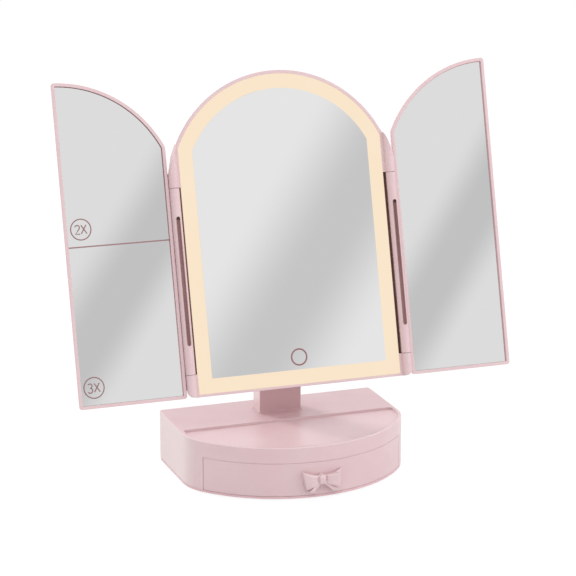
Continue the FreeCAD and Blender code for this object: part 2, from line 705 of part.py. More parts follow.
def make_drawer():
    body = new_body("drawer_tray")
    half = drawer_width / 2
    inner_radius = base_front_radius - drawer_front_thickness
    sketch = new_sketch(body, "XY_Plane", drawer_bottom)
    draw_loop(sketch, [
        (-half, front_arc_y(half, ZERO), base_front_radius),
        (half, front_arc_y(half, ZERO), None),
        (half, front_arc_y(half, drawer_front_thickness), -inner_radius),
        (-half, front_arc_y(half, drawer_front_thickness), None),
    ])
    pad(body, sketch, drawer_front_height)

    box_half = drawer_box_width / 2
    joint_inset = drawer_front_thickness / 2
    sketch = new_sketch(body, "XY_Plane", drawer_bottom)
    draw_loop(sketch, [
        (-box_half, front_arc_y(box_half, joint_inset), base_front_radius - joint_inset),
        (box_half, front_arc_y(box_half, joint_inset), None),
        (box_half, drawer_back, None),
        (-box_half, drawer_back, None),
    ])
    pad(body, sketch, drawer_box_height)

    hollow_half = box_half - drawer_wall
    sketch = new_sketch(body, "XY_Plane", drawer_bottom + drawer_wall)
    draw_loop(sketch, [
        (-hollow_half, front_arc_y(hollow_half, drawer_front_thickness), inner_radius),
        (hollow_half, front_arc_y(hollow_half, drawer_front_thickness), None),
        (hollow_half, drawer_back - drawer_wall, None),
        (-hollow_half, drawer_back - drawer_wall, None),
    ])
    pocket(body, sketch, drawer_box_height, backwards=True)

    sketch = new_sketch(body, "XY_Plane", drawer_bottom + drawer_box_height - drawer_wall)
    for side in (-1, 1):
        middle = sided(stop_tab_offset, side)
        half_tab = stop_tab_width / 2
        draw_box(sketch, middle - half_tab, middle + half_tab, drawer_back - drawer_wall, drawer_back)
    pad(body, sketch, stop_tab_height + drawer_wall)

    sketch = new_sketch(body, "XZ_Plane", -(base_front + drawer_front_thickness * 2))
    draw_circle(sketch, ZERO, bow_centre_height, bow_screw_radius + hole_gap)
    pocket(body, sketch, drawer_front_thickness * 3, backwards=True)


def ellipse_wire(centre, across, along, half_across, half_along):
    """Closed ellipse in the plane of two directions."""
    if half_across >= half_along:
        ends = (centre + across * half_across, centre + along * half_along)
    else:
        ends = (centre + along * half_along, centre + across * half_across)
    return Part.Wire([Part.Ellipse(ends[0], ends[1], centre).toShape()])


def make_bow():
    """Two flared loops, two tails and a knot on a stem, with a blind hole for the screw."""
    middle_y = base_front - bow_reach + bow_knot_thickness / 2
    middle = Vector(0, middle_y.value, bow_centre_height.value)
    depth_way = Vector(0, 1, 0)
    half_thick = bow_thickness.value / 2
    pieces = []
    for side in (-1, 1):
        reach = bow_width.value / 2
        stations = (
            (0, 0, half_thick * 0.8, bow_knot_height.value * 0.36),
            (reach * 0.5, 0.3, half_thick * 1.1, bow_loop_height.value * 0.40),
            (reach, 0.8, half_thick * 0.6, bow_loop_height.value * 0.50),
        )
        wires = []
        for out, back, thick, high in stations:
            centre = middle + Vector(side * out, back, 0.4)
            wires.append(ellipse_wire(centre, depth_way, Vector(0, 0, 1), thick, high))
        pieces.append(Part.makeLoft(wires, True))
        run = Vector(side * 0.62, 0.12, -0.78).normalize()
        cross = run.cross(depth_way).normalize()
        tail_half = bow_tail_width.value / 2
        tail = []
        for way, scale in ((0, 0.55), (bow_tail_length.value, 1.0)):
            end = middle + run * way
            tail.append(ellipse_wire(end, depth_way, cross, half_thick * 0.6, tail_half * scale))
        pieces.append(Part.makeLoft(tail, True))
    knot_size = Vector(bow_knot_width.value, bow_knot_thickness.value, bow_knot_height.value)
    knot = Part.makeBox(knot_size.x, knot_size.y, knot_size.z, middle - knot_size / 2)
    pieces.append(knot.makeFillet(bow_knot_width.value * 0.3, knot.Edges))
    stem_length = base_front.value - middle.y
    pieces.append(Part.makeCylinder(bow_stem_radius.value, stem_length, middle, depth_way))
    bow = pieces[0].multiFuse(pieces[1:]).removeSplitter()
    hole_start = Vector(0, base_front.value - bow_screw_reach.value, bow_centre_height.value)
    bow = bow.cut(Part.makeCylinder(bow_screw_radius.value, bow_reach.value, hole_start, depth_way))
    feature_of("bow_knob", bow.Solids)


def make_bow_screw():
    foot = Vector(0, (base_front + drawer_front_thickness + seat_clearance).value, bow_centre_height.value)
    length = (drawer_front_thickness + seat_clearance + bow_screw_reach).value
    feature_of("bow_screw", [small_screw(foot, Vector(0, -1, 0), length, bow_screw_radius.value)])


# ---------------------------------------------------------------- neck

def make_neck():
    body = new_body("neck_column")
    sketch = new_sketch(body, "XY_Plane", base_height)
    draw_loop(sketch, post_outline(ZERO, neck_front_round, neck_back_round))
    pad(body, sketch, axis_height - base_height)

    foot = new_sketch(body, "XY_Plane", base_height)
    draw_loop(foot, post_outline(neck_flare, neck_front_round + neck_flare, neck_back_round + neck_flare))
    shin = new_sketch(body, "XY_Plane", base_height + neck_flare)
    draw_loop(shin, post_outline(ZERO, neck_front_round, neck_back_round))
    loft(body, "PartDesign::AdditiveLoft", foot, shin)

    sketch = new_sketch(body, "YZ_Plane")
    draw_circle(sketch, neck_y, axis_height, tilt_barrel_radius)
    pad(body, sketch, neck_width, both=True)

    sketch = new_sketch(body, "XY_Plane", base_height)
    draw_loop(sketch, post_outline(-neck_wall, neck_front_round, neck_back_round - neck_wall))
    pocket(body, sketch, axis_height - base_height - tilt_top_web, backwards=True)

    sketch = new_sketch(body, "XY_Plane", base_height)
    draw_circles(sketch, neck_screw_places, neck_boss_radius)
    pad(body, sketch, neck_boss_height)
    sketch = new_sketch(body, "XY_Plane", base_height)
    draw_circles(sketch, neck_screw_places, screw_radius)
    pocket(body, sketch, neck_screw_length, backwards=True)

    sketch = new_sketch(body, "YZ_Plane")
    draw_circle(sketch, neck_y, axis_height, tilt_bolt_radius + hole_gap)
    pocket(body, sketch, neck_width, both=True)
    for side in (-1, 1):
        sketch = new_sketch(body, "YZ_Plane", sided(neck_width / 2, side))
        draw_circle(sketch, neck_y, axis_height, tilt_bush_radius)
        pocket(body, sketch, tilt_bush_length, backwards=side < 0)


def make_neck_clamp():
    body = new_body("neck_clamp_plate")
    sketch = new_sketch(body, "XY_Plane", ceiling - clamp_thickness)
    half = clamp_length / 2
    draw_box(sketch, -half, half, neck_y - clamp_depth / 2, neck_y + clamp_depth / 2)
    draw_circles(sketch, neck_screw_places, screw_radius + hole_gap)
    pad(body, sketch, clamp_thickness)

    screws = []
    for x, y in neck_screw_places:
        foot = Vector(x.value, y.value, (ceiling - clamp_thickness).value)
        screws.append(small_screw(foot, Vector(0, 0, 1), neck_screw_length.value))
    feature_of("neck_screws", screws)


def tube(outer, inner, length, start, direction):
    rod = Part.makeCylinder(outer, length, start, direction)
    return rod.cut(Part.makeCylinder(inner, length, start, direction))


def make_tilt_bushes():
    along = Vector(1, 0, 0)
    inner = (tilt_bolt_radius + running_clearance).value
    bushes = []
    for side in (-1, 1):
        near = neck_width.value / 2
        left = near - tilt_bush_length.value if side > 0 else -near
        start = Vector(left, neck_y.value, axis_height.value)
        bushes.append(tube(tilt_bush_radius.value, inner, tilt_bush_length.value, start, along))
    feature_of("tilt_bushes", bushes)


# ---------------------------------------------------------------- centre panel

ear_inner = neck_width / 2 + tilt_washer_thickness + seat_clearance * 2
cover_front_half = side_wall - rim_side_taper
cover_front_radius = rim_radius - rim_taper
cover_front_bottom = panel_bottom + rim_taper
cover_screw_x = band_half_width - cover_screw_inset
cover_screws = []
for screw_side in (-1, 1):
    cover_screws.append((sided(cover_screw_x, screw_side), up(cover_screw_low)))
    cover_screws.append((sided(cover_screw_x, screw_side), up(cover_screw_mid)))
    cover_screws.append((
        sided(band_half_width - cover_screw_top_inset, screw_side), up(arch_centre + cover_screw_rise)))
bracket_screw_x = bracket_width / 2 - bracket_screw_side
bracket_screw_z = bracket_height / 2 - bracket_screw_end
bracket_screws = [
    (sided(bracket_screw_x, side), sided(bracket_screw_z, rise)) for side in (-1, 1) for rise in (-1, 1)
]
plateau_inset = band_width - plateau_lap
plateau_back = diffuser_thickness + light_tray_wall
channel_floor = light_tray_depth - light_tray_wall
cover_floor = cover_depth - cover_wall


def panel_sketch(body, behind_glass):
    """Sketch parallel to the glass. Pads from it grow towards the front."""
    return new_sketch(body, "XZ_Plane", -depth(behind_glass))


def cross_sketch(body, height_above_band):
    """Sketch square to the fold axes. Pads from it grow upwards."""
    return new_sketch(body, "XY_Plane", up(height_above_band))


def make_centre_frame():
    body = new_body("centre_frame")
    back = panel_sketch(body, frame_depth)
    draw_loop(back, arch_outline(cover_front_half, cover_front_radius, cover_front_bottom))
    front = panel_sketch(body, rim_edge)
    draw_loop(front, arch_outline(side_wall, rim_radius, panel_bottom))
    loft(body, "PartDesign::AdditiveLoft", back, front)
    edge = panel_sketch(body, rim_edge)
    draw_loop(edge, arch_outline(side_wall, rim_radius, panel_bottom))
    pad(body, edge, rim_edge + rim_proud)
    rim_front = depth(-rim_proud).value
    round_edges(body, rim_round, lambda item: item.BoundBox.YMax < rim_front + 0.01)

    spring = arch_centre + root(rim_radius * rim_radius - side_wall * side_wall)
    sketch = cross_sketch(body, panel_bottom)
    web_start = band_half_width - ledge_width / 2
    draw_box(sketch, web_start, hinge_offset, depth(-rim_proud), depth(frame_depth))
    draw_box(sketch, -hinge_offset, -web_start, depth(-rim_proud), depth(frame_depth))
    pad(body, sketch, spring + rim_bottom)
    sketch = cross_sketch(body, panel_bottom)
    for side in (-1, 1):
        draw_circle(sketch, sided(hinge_offset, side), hinge_front, hinge_radius)
    pad(body, sketch, spring + rim_bottom)

    beyond = hinge_offset + hinge_radius * 2
    above = up(spring + rim_bottom)
    knuckle_edge = hinge_offset + hinge_radius + hinge_seam
    corner_start = knuckle_edge - knuckle_corner
    edge_z = up(arch_centre) + root(rim_radius * rim_radius - knuckle_edge * knuckle_edge)
    shoulder = [
        (side_wall, up(spring), -rim_radius),
        (knuckle_edge, edge_z, None),
        (beyond, edge_z, None),
        (beyond, above, None),
        (side_wall, above, None),
    ]
    low_edge = up(panel_bottom)
    below = up(panel_bottom - knuckle_corner)
    heel = [
        (corner_start, low_edge, None),
        (corner_start, below, None),
        (beyond, below, None),
        (beyond, low_edge + knuckle_corner, None),
        (knuckle_edge, low_edge + knuckle_corner, -knuckle_corner),
    ]
    for side in (-1, 1):
        sketch = panel_sketch(body, ZERO)
        draw_loop(sketch, on_side(shoulder, side))
        pocket(body, sketch, axis_behind_glass * 2, both=True)
        sketch = panel_sketch(body, ZERO)
        draw_loop(sketch, on_side(heel, side))
        pocket(body, sketch, axis_behind_glass * 2, both=True)
        sketch = panel_sketch(body, ZERO)
        gap = [
            (side_wall, up(knuckle_top), None),
            (beyond, up(knuckle_top), None),
            (beyond, up(knuckle_bottom), None),
            (side_wall, up(knuckle_bottom), None),
        ]
        draw_loop(sketch, on_side(gap, side))
        pocket(body, sketch, axis_behind_glass * 2, both=True)
        sketch = panel_sketch(body, -rim_proud)
        slit = [
            (band_half_width, up(knuckle_top), None),
            (side_wall, up(knuckle_top), None),
            (side_wall, up(knuckle_bottom), None),
            (band_half_width, up(knuckle_bottom), None),
        ]
        draw_loop(sketch, on_side(slit, side))
        pocket(body, sketch, rim_proud + diffuser_thickness)
    lip_front = depth(hinge_radius - hinge_proud + hinge_seam)
    lip_edge = hinge_offset - hinge_seam
    sketch = cross_sketch(body, knuckle_top)
    draw_box(sketch, web_start, lip_edge, lip_front, depth(frame_depth))
    draw_box(sketch, -lip_edge, -web_start, lip_front, depth(frame_depth))
    pad(body, sketch, knuckle_bottom - knuckle_top)

    sketch = panel_sketch(body, -(hinge_proud + hinge_radius))
    draw_loop(sketch, band_outline(ZERO))
    pocket(body, sketch, hinge_proud + hinge_radius + diffuser_thickness)
    sketch = panel_sketch(body, ZERO)
    draw_loop(sketch, band_outline(ledge_width))
    pocket(body, sketch, axis_behind_glass)

    sketch = cross_sketch(body, knuckle_top)
    for side in (-1, 1):
        draw_circle(sketch, sided(hinge_offset, side), hinge_front, pin_radius)
    pocket(body, sketch, pin_reach)
    sketch = cross_sketch(body, knuckle_bottom)
    for side in (-1, 1):
        draw_circle(sketch, sided(hinge_offset, side), hinge_front, pin_radius)
    pocket(body, sketch, pin_reach, backwards=True)
    in_panel_frame(body)


def make_back_cover():
    body = new_body("centre_back_cover")
    back = panel_sketch(body, cover_depth)
    draw_loop(back, arch_outline(
        cover_front_half - cover_taper, cover_front_radius - cover_taper, cover_front_bottom + cover_taper))
    front = panel_sketch(body, frame_depth)
    draw_loop(front, arch_outline(cover_front_half, cover_front_radius, cover_front_bottom))
    loft(body, "PartDesign::AdditiveLoft", back, front)
    rear_face = depth(cover_depth).value
    round_edges(body, cover_round, lambda item: item.BoundBox.YMin > rear_face - 0.01)

    slope = cover_taper / (cover_depth - frame_depth)
    floor_taper = slope * (cover_floor - frame_depth) + cover_wall
    back = panel_sketch(body, cover_floor)
    draw_loop(back, arch_outline(
        cover_front_half - floor_taper, cover_front_radius - floor_taper, cover_front_bottom + floor_taper))
    front = panel_sketch(body, frame_depth)
    draw_loop(front, arch_outline(
        cover_front_half - cover_wall, cover_front_radius - cover_wall, cover_front_bottom + cover_wall))
    loft(body, "PartDesign::SubtractiveLoft", back, front)

    sketch = panel_sketch(body, cover_depth - cover_wall / 2)
    for x, z in bracket_screws:
        draw_circle(sketch, x, z, bracket_boss_radius)
    pad(body, sketch, bracket_boss_length + cover_wall / 2)
    sketch = panel_sketch(body, cover_depth)
    for x, z in bracket_screws:
        draw_circle(sketch, x, z, screw_radius)
    pocket(body, sketch, screw_length, backwards=True)
    sketch = panel_sketch(body, cover_depth)
    for x, z in cover_screws:
        draw_circle(sketch, x, z, screw_radius + hole_gap)
    pocket(body, sketch, cover_wall, backwards=True)
    sketch = panel_sketch(body, cover_depth)
    for x, z in cover_screws:
        draw_circle(sketch, x, z, screw_head_radius + hole_gap)
    pocket(body, sketch, screw_head_height, backwards=True)
    sketch = panel_sketch(body, cover_depth)
    half = socket_width / 2 + hole_gap
    low = up(socket_above_band) - socket_height / 2 - hole_gap
    draw_box(sketch, -half, half, low, low + socket_height + hole_gap * 2)
    pocket(body, sketch, cover_wall, backwards=True)
    in_panel_frame(body)


def make_light_tray():
    body = new_body("light_tray")
    sketch = panel_sketch(body, light_tray_depth)
    draw_loop(sketch, band_outline(light_tray_inset))
    pad(body, sketch, light_tray_depth - frame_depth)
    sketch = panel_sketch(body, light_tray_depth)
    draw_loop(sketch, band_outline(plateau_inset))
    pad(body, sketch, light_tray_depth - diffuser_thickness)
    sketch = panel_sketch(body, frame_depth)
    draw_loop(sketch, band_outline(light_tray_inset + light_tray_wall))
    draw_loop(sketch, band_outline(plateau_inset))
    pocket(body, sketch, channel_floor - frame_depth)
    sketch = panel_sketch(body, light_tray_depth)
    draw_loop(sketch, band_outline(plateau_inset + light_tray_wall))
    pocket(body, sketch, light_tray_depth - plateau_back, backwards=True)

    sketch = panel_sketch(body, cover_floor)
    for x, z in cover_screws:
        draw_circle(sketch, x, z, cover_boss_radius)
    pad(body, sketch, cover_floor - diffuser_thickness)
    sketch = panel_sketch(body, board_depth)
    for x, z in board_posts:
        draw_circle(sketch, x, z, board_post_radius)
    pad(body, sketch, board_depth - diffuser_thickness)
    sketch = panel_sketch(body, cover_floor)
    for x, z in cover_screws:
        draw_circle(sketch, x, z, screw_radius)
    pocket(body, sketch, screw_length, backwards=True)
    sketch = panel_sketch(body, plateau_back)
    draw_circle(sketch, ZERO, up(touch_height), touch_hole_radius)
    pocket(body, sketch, light_tray_wall, backwards=True)

    tail_half = tail_width / 2 + hole_gap
    sketch = cross_sketch(body, plateau_inset - light_tray_wall / 2)
    top = depth(channel_floor - strip_thickness - hole_gap)
    draw_box(sketch, -tail_offset - tail_half, tail_half - tail_offset, top, depth(channel_floor))
    pocket(body, sketch, light_tray_wall * 2, backwards=True)
    in_panel_frame(body)


board_post_radius = cover_boss_radius - light_tray_wall / 2
board_posts = []
for post_side in (-1, 1):
    post_x = board_width / 2 - board_post_radius
    board_posts.append((sided(post_x, post_side), up(board_bottom) + board_post_radius))
    board_posts.append((sided(post_x, post_side), up(board_bottom) + board_height - board_post_radius))


def make_light_strip():
    body = new_body("led_strip")
    outer = plateau_inset - hole_gap * 2
    sketch = panel_sketch(body, channel_floor)
    draw_loop(sketch, band_outline(outer - strip_width))
    draw_loop(sketch, band_outline(outer))
    pad(body, sketch, strip_thickness)
    sketch = panel_sketch(body, channel_floor)
    tail_start = outer - strip_width / 2
    tail_half = tail_width / 2
    draw_box(sketch, -tail_offset - tail_half, tail_half - tail_offset, up(tail_start), up(tail_end))
    pad(body, sketch, strip_thickness)
    in_panel_frame(body)

    feature_of("led_chips", light_chips((outer - strip_width / 2).value), panel_placement())


def light_chips(inset):
    """One box for each chip, spread evenly along the middle of the strip."""
    half = band_half_width.value - inset
    radius = band_radius.value - inset
    low = up(ZERO).value + inset
    centre_z = up(arch_centre).value
    spring = centre_z + math.sqrt(radius * radius - half * half)
    corners = [Vector(-half, 0, low), Vector(half, 0, low), Vector(half, 0, spring), Vector(-half, 0, spring)]
    arch = Part.Arc(corners[2], Vector(0, 0, centre_z + radius), corners[3])
    edges = [
        Part.makeLine(corners[0], corners[1]),
        Part.makeLine(corners[1], corners[2]),
        arch.toShape(),
        Part.makeLine(corners[3], corners[0]),
    ]
    chips = []
    back = depth(channel_floor - strip_thickness).value
    for edge in edges:
        count = max(int(edge.Length / chip_pitch.value), 1)
        for index in range(count):
            share = (index + 0.5) / count
            at = edge.FirstParameter + (edge.LastParameter - edge.FirstParameter) * share
            point = edge.valueAt(at)
            along = edge.tangentAt(at)
            turn = Rotation(Vector(1, 0, 0), along)
            corner = Vector(-chip_length.value / 2, -chip_height.value, -chip_width.value / 2)
            chip = Part.makeBox(chip_length.value, chip_height.value, chip_width.value, corner)
            chip.Placement = Placement(Vector(point.x, back, point.z), turn)
            chips.append(chip)
    return chips


def flat_piece(label, loops, back, front):
    """Flat piece of the panel between two depths, from one or more closed outlines."""
    body = new_body(label)
    sketch = panel_sketch(body, back)
    for path in loops:
        draw_loop(sketch, path)
    pad(body, sketch, back - front)
    in_panel_frame(body)
    return body


def panel_box(left, right, low, high):
    return [(left, up(low), None), (right, up(low), None), (right, up(high), None), (left, up(high), None)]


def make_centre_glass():
    ring = [band_outline(fit_gap), band_outline(band_width)]
    flat_piece("light_diffuser", ring, diffuser_thickness, ZERO)
    flat_piece("centre_mirror", [band_outline(band_width + fit_gap)], glass_thickness, ZERO)
    tape = flat_piece(
        "centre_mirror_tape", [band_outline(band_width + tape_inset)], diffuser_thickness, glass_thickness)
    sketch = panel_sketch(tape, diffuser_thickness)
    draw_circle(sketch, ZERO, up(touch_height), touch_hole_radius)
    pocket(tape, sketch, diffuser_thickness - glass_thickness, backwards=True)


def make_electronics():
    body = new_body("touch_sensor")
    sketch = panel_sketch(body, board_depth)
    draw_circle(sketch, ZERO, up(touch_height), touch_radius)
    pad(body, sketch, board_depth - glass_thickness)
    sketch = panel_sketch(body, board_depth)
    draw_circle(sketch, ZERO, up(touch_height), touch_radius - spring_wall)
    pocket(body, sketch, board_depth - glass_thickness - spring_wall, backwards=True)
    in_panel_frame(body)

    board_back = board_depth + board_thickness
    half = board_width / 2
    outline = panel_box(-half, half, board_bottom, board_bottom + board_height)
    board = flat_piece("control_board", [outline], board_back, board_depth)
    connector_half = tail_width / 2 + hole_gap
    for x, low, front in (
            (-tail_offset, tail_end - strip_width, channel_floor),
            (lead_offset, lead_start, plateau_back + lead_thickness)):
        sketch = panel_sketch(board, board_depth)
        draw_loop(sketch, panel_box(x - connector_half, x + connector_half, low, low + strip_width))
        pad(board, sketch, board_depth - front)

    half = socket_width / 2
    low = socket_above_band - socket_height / 2
    socket = flat_piece(
        "usb_socket", [panel_box(-half, half, low, low + socket_height)], cover_depth, board_back)
    sketch = panel_sketch(socket, cover_depth)
    inner = half - socket_wall
    draw_loop(sketch, panel_box(-inner, inner, low + socket_wall, low + socket_height - socket_wall))
    pocket(socket, sketch, cover_depth - board_back - socket_wall * 2, backwards=True)

    half = battery_width / 2
    battery = flat_piece(
        "battery_cell", [panel_box(-half, half, battery_bottom, battery_bottom + battery_height)],
        plateau_back + battery_thickness, plateau_back)
    round_edges(battery, battery_round, lambda edge: abs(edge.tangentAt(edge.FirstParameter).y) > 0.9)

    flat_piece(
        "battery_lead",
        [panel_box(lead_offset - lead_width / 2, lead_offset + lead_width / 2, lead_start, battery_bottom)],
        plateau_back + lead_thickness, plateau_back)


def panel_screws(label, places, foot_depth):
    """Screws that go in from the back of the panel."""
    screws = []
    forwards = Vector(0, -1, 0)
    for x, z in places:
        screws.append(small_screw(Vector(x.value, foot_depth.value, z.value), forwards, screw_length.value))
    feature_of(label, screws, panel_placement())


def make_tilt_bracket():
    body = new_body("tilt_bracket")
    plate_back = depth(cover_depth + bracket_thickness)
    sketch = panel_sketch(body, cover_depth + bracket_thickness)
    draw_box(sketch, -bracket_width / 2, bracket_width / 2, -bracket_height / 2, bracket_height / 2)
    pad(body, sketch, bracket_thickness)
    round_edges(body, bracket_boss_radius, lambda edge: abs(edge.tangentAt(edge.FirstParameter).y) > 0.9)
    for side in (-1, 1):
        near = ear_inner if side > 0 else -ear_inner - ear_thickness
        sketch = new_sketch(body, "YZ_Plane", near)
        draw_loop(sketch, [
            (plate_back - bracket_thickness / 2, -tilt_barrel_radius, None),
            (ZERO, -tilt_barrel_radius, tilt_barrel_radius),
            (tilt_barrel_radius, ZERO, tilt_barrel_radius),
            (ZERO, tilt_barrel_radius, None),
            (plate_back - bracket_thickness / 2, tilt_barrel_radius, None),
        ])
        pad(body, sketch, ear_thickness)
    sketch = new_sketch(body, "YZ_Plane")
    draw_circle(sketch, ZERO, ZERO, tilt_bolt_radius + seat_clearance)
    pocket(body, sketch, (ear_inner + ear_thickness) * 2, both=True)
    sketch = panel_sketch(body, cover_depth + bracket_thickness)
    for x, z in bracket_screws:
        draw_circle(sketch, x, z, screw_radius + hole_gap)
    pocket(body, sketch, bracket_thickness, backwards=True)
    in_panel_frame(body)


def make_tilt_bolt():
    along = Vector(1, 0, 0)
    outer = (ear_inner + ear_thickness).value
    head_length = bolt_head_length.value
    shank_length = 2 * outer + head_length
    shank = Part.makeCylinder(tilt_bolt_radius.value, shank_length, Vector(-outer, 0, 0), along)
    head = Part.makeCylinder(bolt_head_radius.value, head_length, Vector(-outer - head_length, 0, 0), along)
    feature_of("tilt_bolt", [shank.fuse(head).removeSplitter()], panel_placement())

    points = []
    for corner in range(7):
        spoke = Rotation(along, 60 * corner).multVec(Vector(0, bolt_head_radius.value, 0))
        points.append(Vector(outer, 0, 0) + spoke)
    nut = Part.Face(Part.makePolygon(points)).extrude(along * head_length)
    nut = nut.cut(Part.makeCylinder(tilt_bolt_radius.value, head_length, Vector(outer, 0, 0), along))
    feature_of("tilt_nut", [nut], panel_placement())

    washers = []
    near = (neck_width / 2 + seat_clearance).value
    inner = (tilt_bolt_radius + seat_clearance).value
    thickness = tilt_washer_thickness.value
    for left in (near, -near - thickness):
        washers.append(tube(tilt_washer_radius.value, inner, thickness, Vector(left, 0, 0), along))
    feature_of("tilt_washers", washers, panel_placement())


# ---------------------------------------------------------------- wings

def make_wing_frame(name, side):
    body = new_body(f"{name}_wing_frame")
    back = panel_sketch(body, wing_frame_depth)
    tapered = wing_outline(wing_taper, wing_corner_round, wing_inner_round - wing_taper)
    draw_loop(back, on_side(tapered, side))
    outline = on_side(wing_outline(ZERO, wing_corner_round, wing_inner_round), side)
    front = panel_sketch(body, rim_edge)
    draw_loop(front, outline)
    loft(body, "PartDesign::AdditiveLoft", back, front)
    edge = panel_sketch(body, rim_edge)
    draw_loop(edge, outline)
    pad(body, edge, rim_edge + rim_proud)
    rim_front = depth(-rim_proud).value
    round_edges(body, rim_round, lambda item: item.BoundBox.YMax < rim_front + 0.01)

    barrel_length = barrel_high - barrel_low
    sketch = cross_sketch(body, barrel_low)
    web = [
        (hinge_offset, depth(web_front), None),
        (wing_inner + wing_rim, depth(web_front), None),
        (wing_inner + wing_rim, depth(wing_frame_depth), None),
        (hinge_offset, depth(wing_frame_depth), None),
    ]
    draw_loop(sketch, on_side(web, side))
    pad(body, sketch, barrel_length)
    sketch = cross_sketch(body, barrel_low)
    draw_circle(sketch, sided(hinge_offset, side), hinge_front, hinge_radius)
    pad(body, sketch, barrel_length)

    sketch = panel_sketch(body, -rim_proud)
    opening = wing_outline(wing_rim, glass_corner_round, wing_inner_round - wing_rim)
    draw_loop(sketch, on_side(opening, side))
    pocket(body, sketch, wing_floor_front + rim_proud)

    sketch = panel_sketch(body, -(hinge_proud + hinge_radius))
    half = slot_width / 2
    middle = sided(hinge_offset, side)
    draw_loop(sketch, [
        (middle - half, up(slot_low) + half, half),
        (middle, up(slot_low), half),
        (middle + half, up(slot_low) + half, None),
        (middle + half, up(slot_high) - half, half),
        (middle, up(slot_high), half),
        (middle - half, up(slot_high) - half, None),
    ])
    pocket(body, sketch, slot_depth)

    sketch = cross_sketch(body, barrel_low)
    draw_circle(sketch, middle, hinge_front, sleeve_radius)
    pocket(body, sketch, pin_reach, backwards=True)
    sketch = cross_sketch(body, barrel_high)
    draw_circle(sketch, middle, hinge_front, sleeve_radius)
    pocket(body, sketch, pin_reach)
    in_panel_frame(body)


def make_wing_back(name, side):
    body = new_body(f"{name}_wing_back")
    rear_inset = wing_taper + wing_back_taper
    back = panel_sketch(body, wing_back_depth)
    rear = wing_outline(rear_inset, wing_corner_round, wing_inner_round - rear_inset)
    draw_loop(back, on_side(rear, side))
    front = panel_sketch(body, wing_frame_depth)
    seam = wing_outline(wing_taper, wing_corner_round, wing_inner_round - wing_taper)
    draw_loop(front, on_side(seam, side))
    loft(body, "PartDesign::AdditiveLoft", back, front)
    rear_face = depth(wing_back_depth).value
    round_edges(body, rim_round, lambda item: item.BoundBox.YMin > rear_face - 0.01)
    sketch = panel_sketch(body, wing_frame_depth)
    hollow = wing_outline(rear_inset + wing_back_wall, glass_corner_round, glass_corner_round)
    draw_loop(sketch, on_side(hollow, side))
    pocket(body, sketch, wing_back_depth - wing_frame_depth - wing_back_wall)
    in_panel_frame(body)


def make_wing_hardware(name, side):
    """Hinge sleeves in the wing's barrel, and the pins that the centre frame holds."""
    up_z = Vector(0, 0, 1)
    x = side * hinge_offset.value
    y = hinge_front.value
    reach = pin_reach.value
    inner = (pin_radius + running_clearance).value
    sleeves = []
    for low in (up(barrel_low).value, up(barrel_high).value - reach):
        sleeves.append(tube(sleeve_radius.value, inner, reach, Vector(x, y, low), up_z))
    feature_of(f"{name}_hinge_sleeves", sleeves, panel_placement())
    length = 2 * reach + hinge_seam.value - hole_gap.value
    low_pin = Part.makeCylinder(pin_radius.value, length, Vector(x, y, up(knuckle_top).value - reach), up_z)
    high_start = up(knuckle_bottom).value + reach - length
    high_pin = Part.makeCylinder(pin_radius.value, length, Vector(x, y, high_start), up_z)
    feature_of(f"{name}_hinge_pins", [low_pin, high_pin], panel_placement())


def glass_outline():
    return wing_outline(wing_rim + fit_gap, glass_corner_round, wing_inner_round - wing_rim)


def make_left_mirrors():
    """The left wing's glass is in two pieces, one above the other, each on its own tape."""
    whole = glass_outline()
    left = wing_inner + wing_rim + fit_gap
    right = wing_outer - wing_rim - fit_gap
    bottom = up(panel_bottom + wing_rim + fit_gap)
    corner = glass_corner_round
    split_low = up(split_height - split_gap / 2)
    split_high = up(split_height + split_gap / 2)
    lower = [
        (left + corner, bottom, None),
        (right - corner, bottom, corner),
        (right, bottom + corner, None),
        (right, split_low, None),
        (left, split_low, None),
        (left, bottom + corner, corner),
    ]
    arch = whole[3:6]
    inner_top = whole[6][1]
    upper = [(left, split_high, None), (right, split_high, None)] + arch + [(left, inner_top, None)]
    back = wing_glass_recess + wing_glass_thickness
    flat_piece("left_mirror_lower", [mirrored(lower)], back, wing_glass_recess)
    flat_piece("left_mirror_upper", [mirrored(upper)], back, wing_glass_recess)

    tapes = []
    width = (right - left - tape_inset * 2).value
    low_tape = (bottom + tape_inset, split_low - tape_inset)
    high_tape = (split_high + tape_inset, split_high + tape_inset + upper_tape_height)
    for low, high in (low_tape, high_tape):
        corner = Vector((tape_inset - right).value, depth(back).value, low.value)
        tapes.append(Part.makeBox(width, tape_thickness.value, (high - low).value, corner))
    feature_of("left_mirror_tapes", tapes, panel_placement())


def make_right_mirror():
    back = wing_glass_recess + wing_glass_thickness
    flat_piece("right_mirror", [glass_outline()], back, wing_glass_recess)
    tape_corner = wing_inner_round - wing_rim - tape_inset / 2
    taped = wing_outline(wing_rim + tape_inset, glass_corner_round, tape_corner)
    flat_piece("right_mirror_tape", [taped], back + tape_thickness, back)


# ---------------------------------------------------------------- build, check and export

make_base_shell()
make_base_plate()
make_feet()
make_base_fasteners()
make_counterweight()
make_drawer()
make_bow()
make_bow_screw()
make_neck()
make_neck_clamp()
make_tilt_bushes()
make_centre_frame()
make_back_cover()
make_light_tray()
make_light_strip()
make_centre_glass()
make_electronics()
panel_screws("centre_screws", cover_screws, depth(cover_depth - screw_head_height))
make_tilt_bracket()
panel_screws("bracket_screws", bracket_screws, depth(cover_depth + bracket_thickness))
make_tilt_bolt()
for wing_name, wing_side in (("left", -1), ("right", 1)):
    make_wing_frame(wing_name, wing_side)
    make_wing_back(wing_name, wing_side)
    make_wing_hardware(wing_name, wing_side)
make_left_mirrors()
make_right_mirror()
doc.recompute()

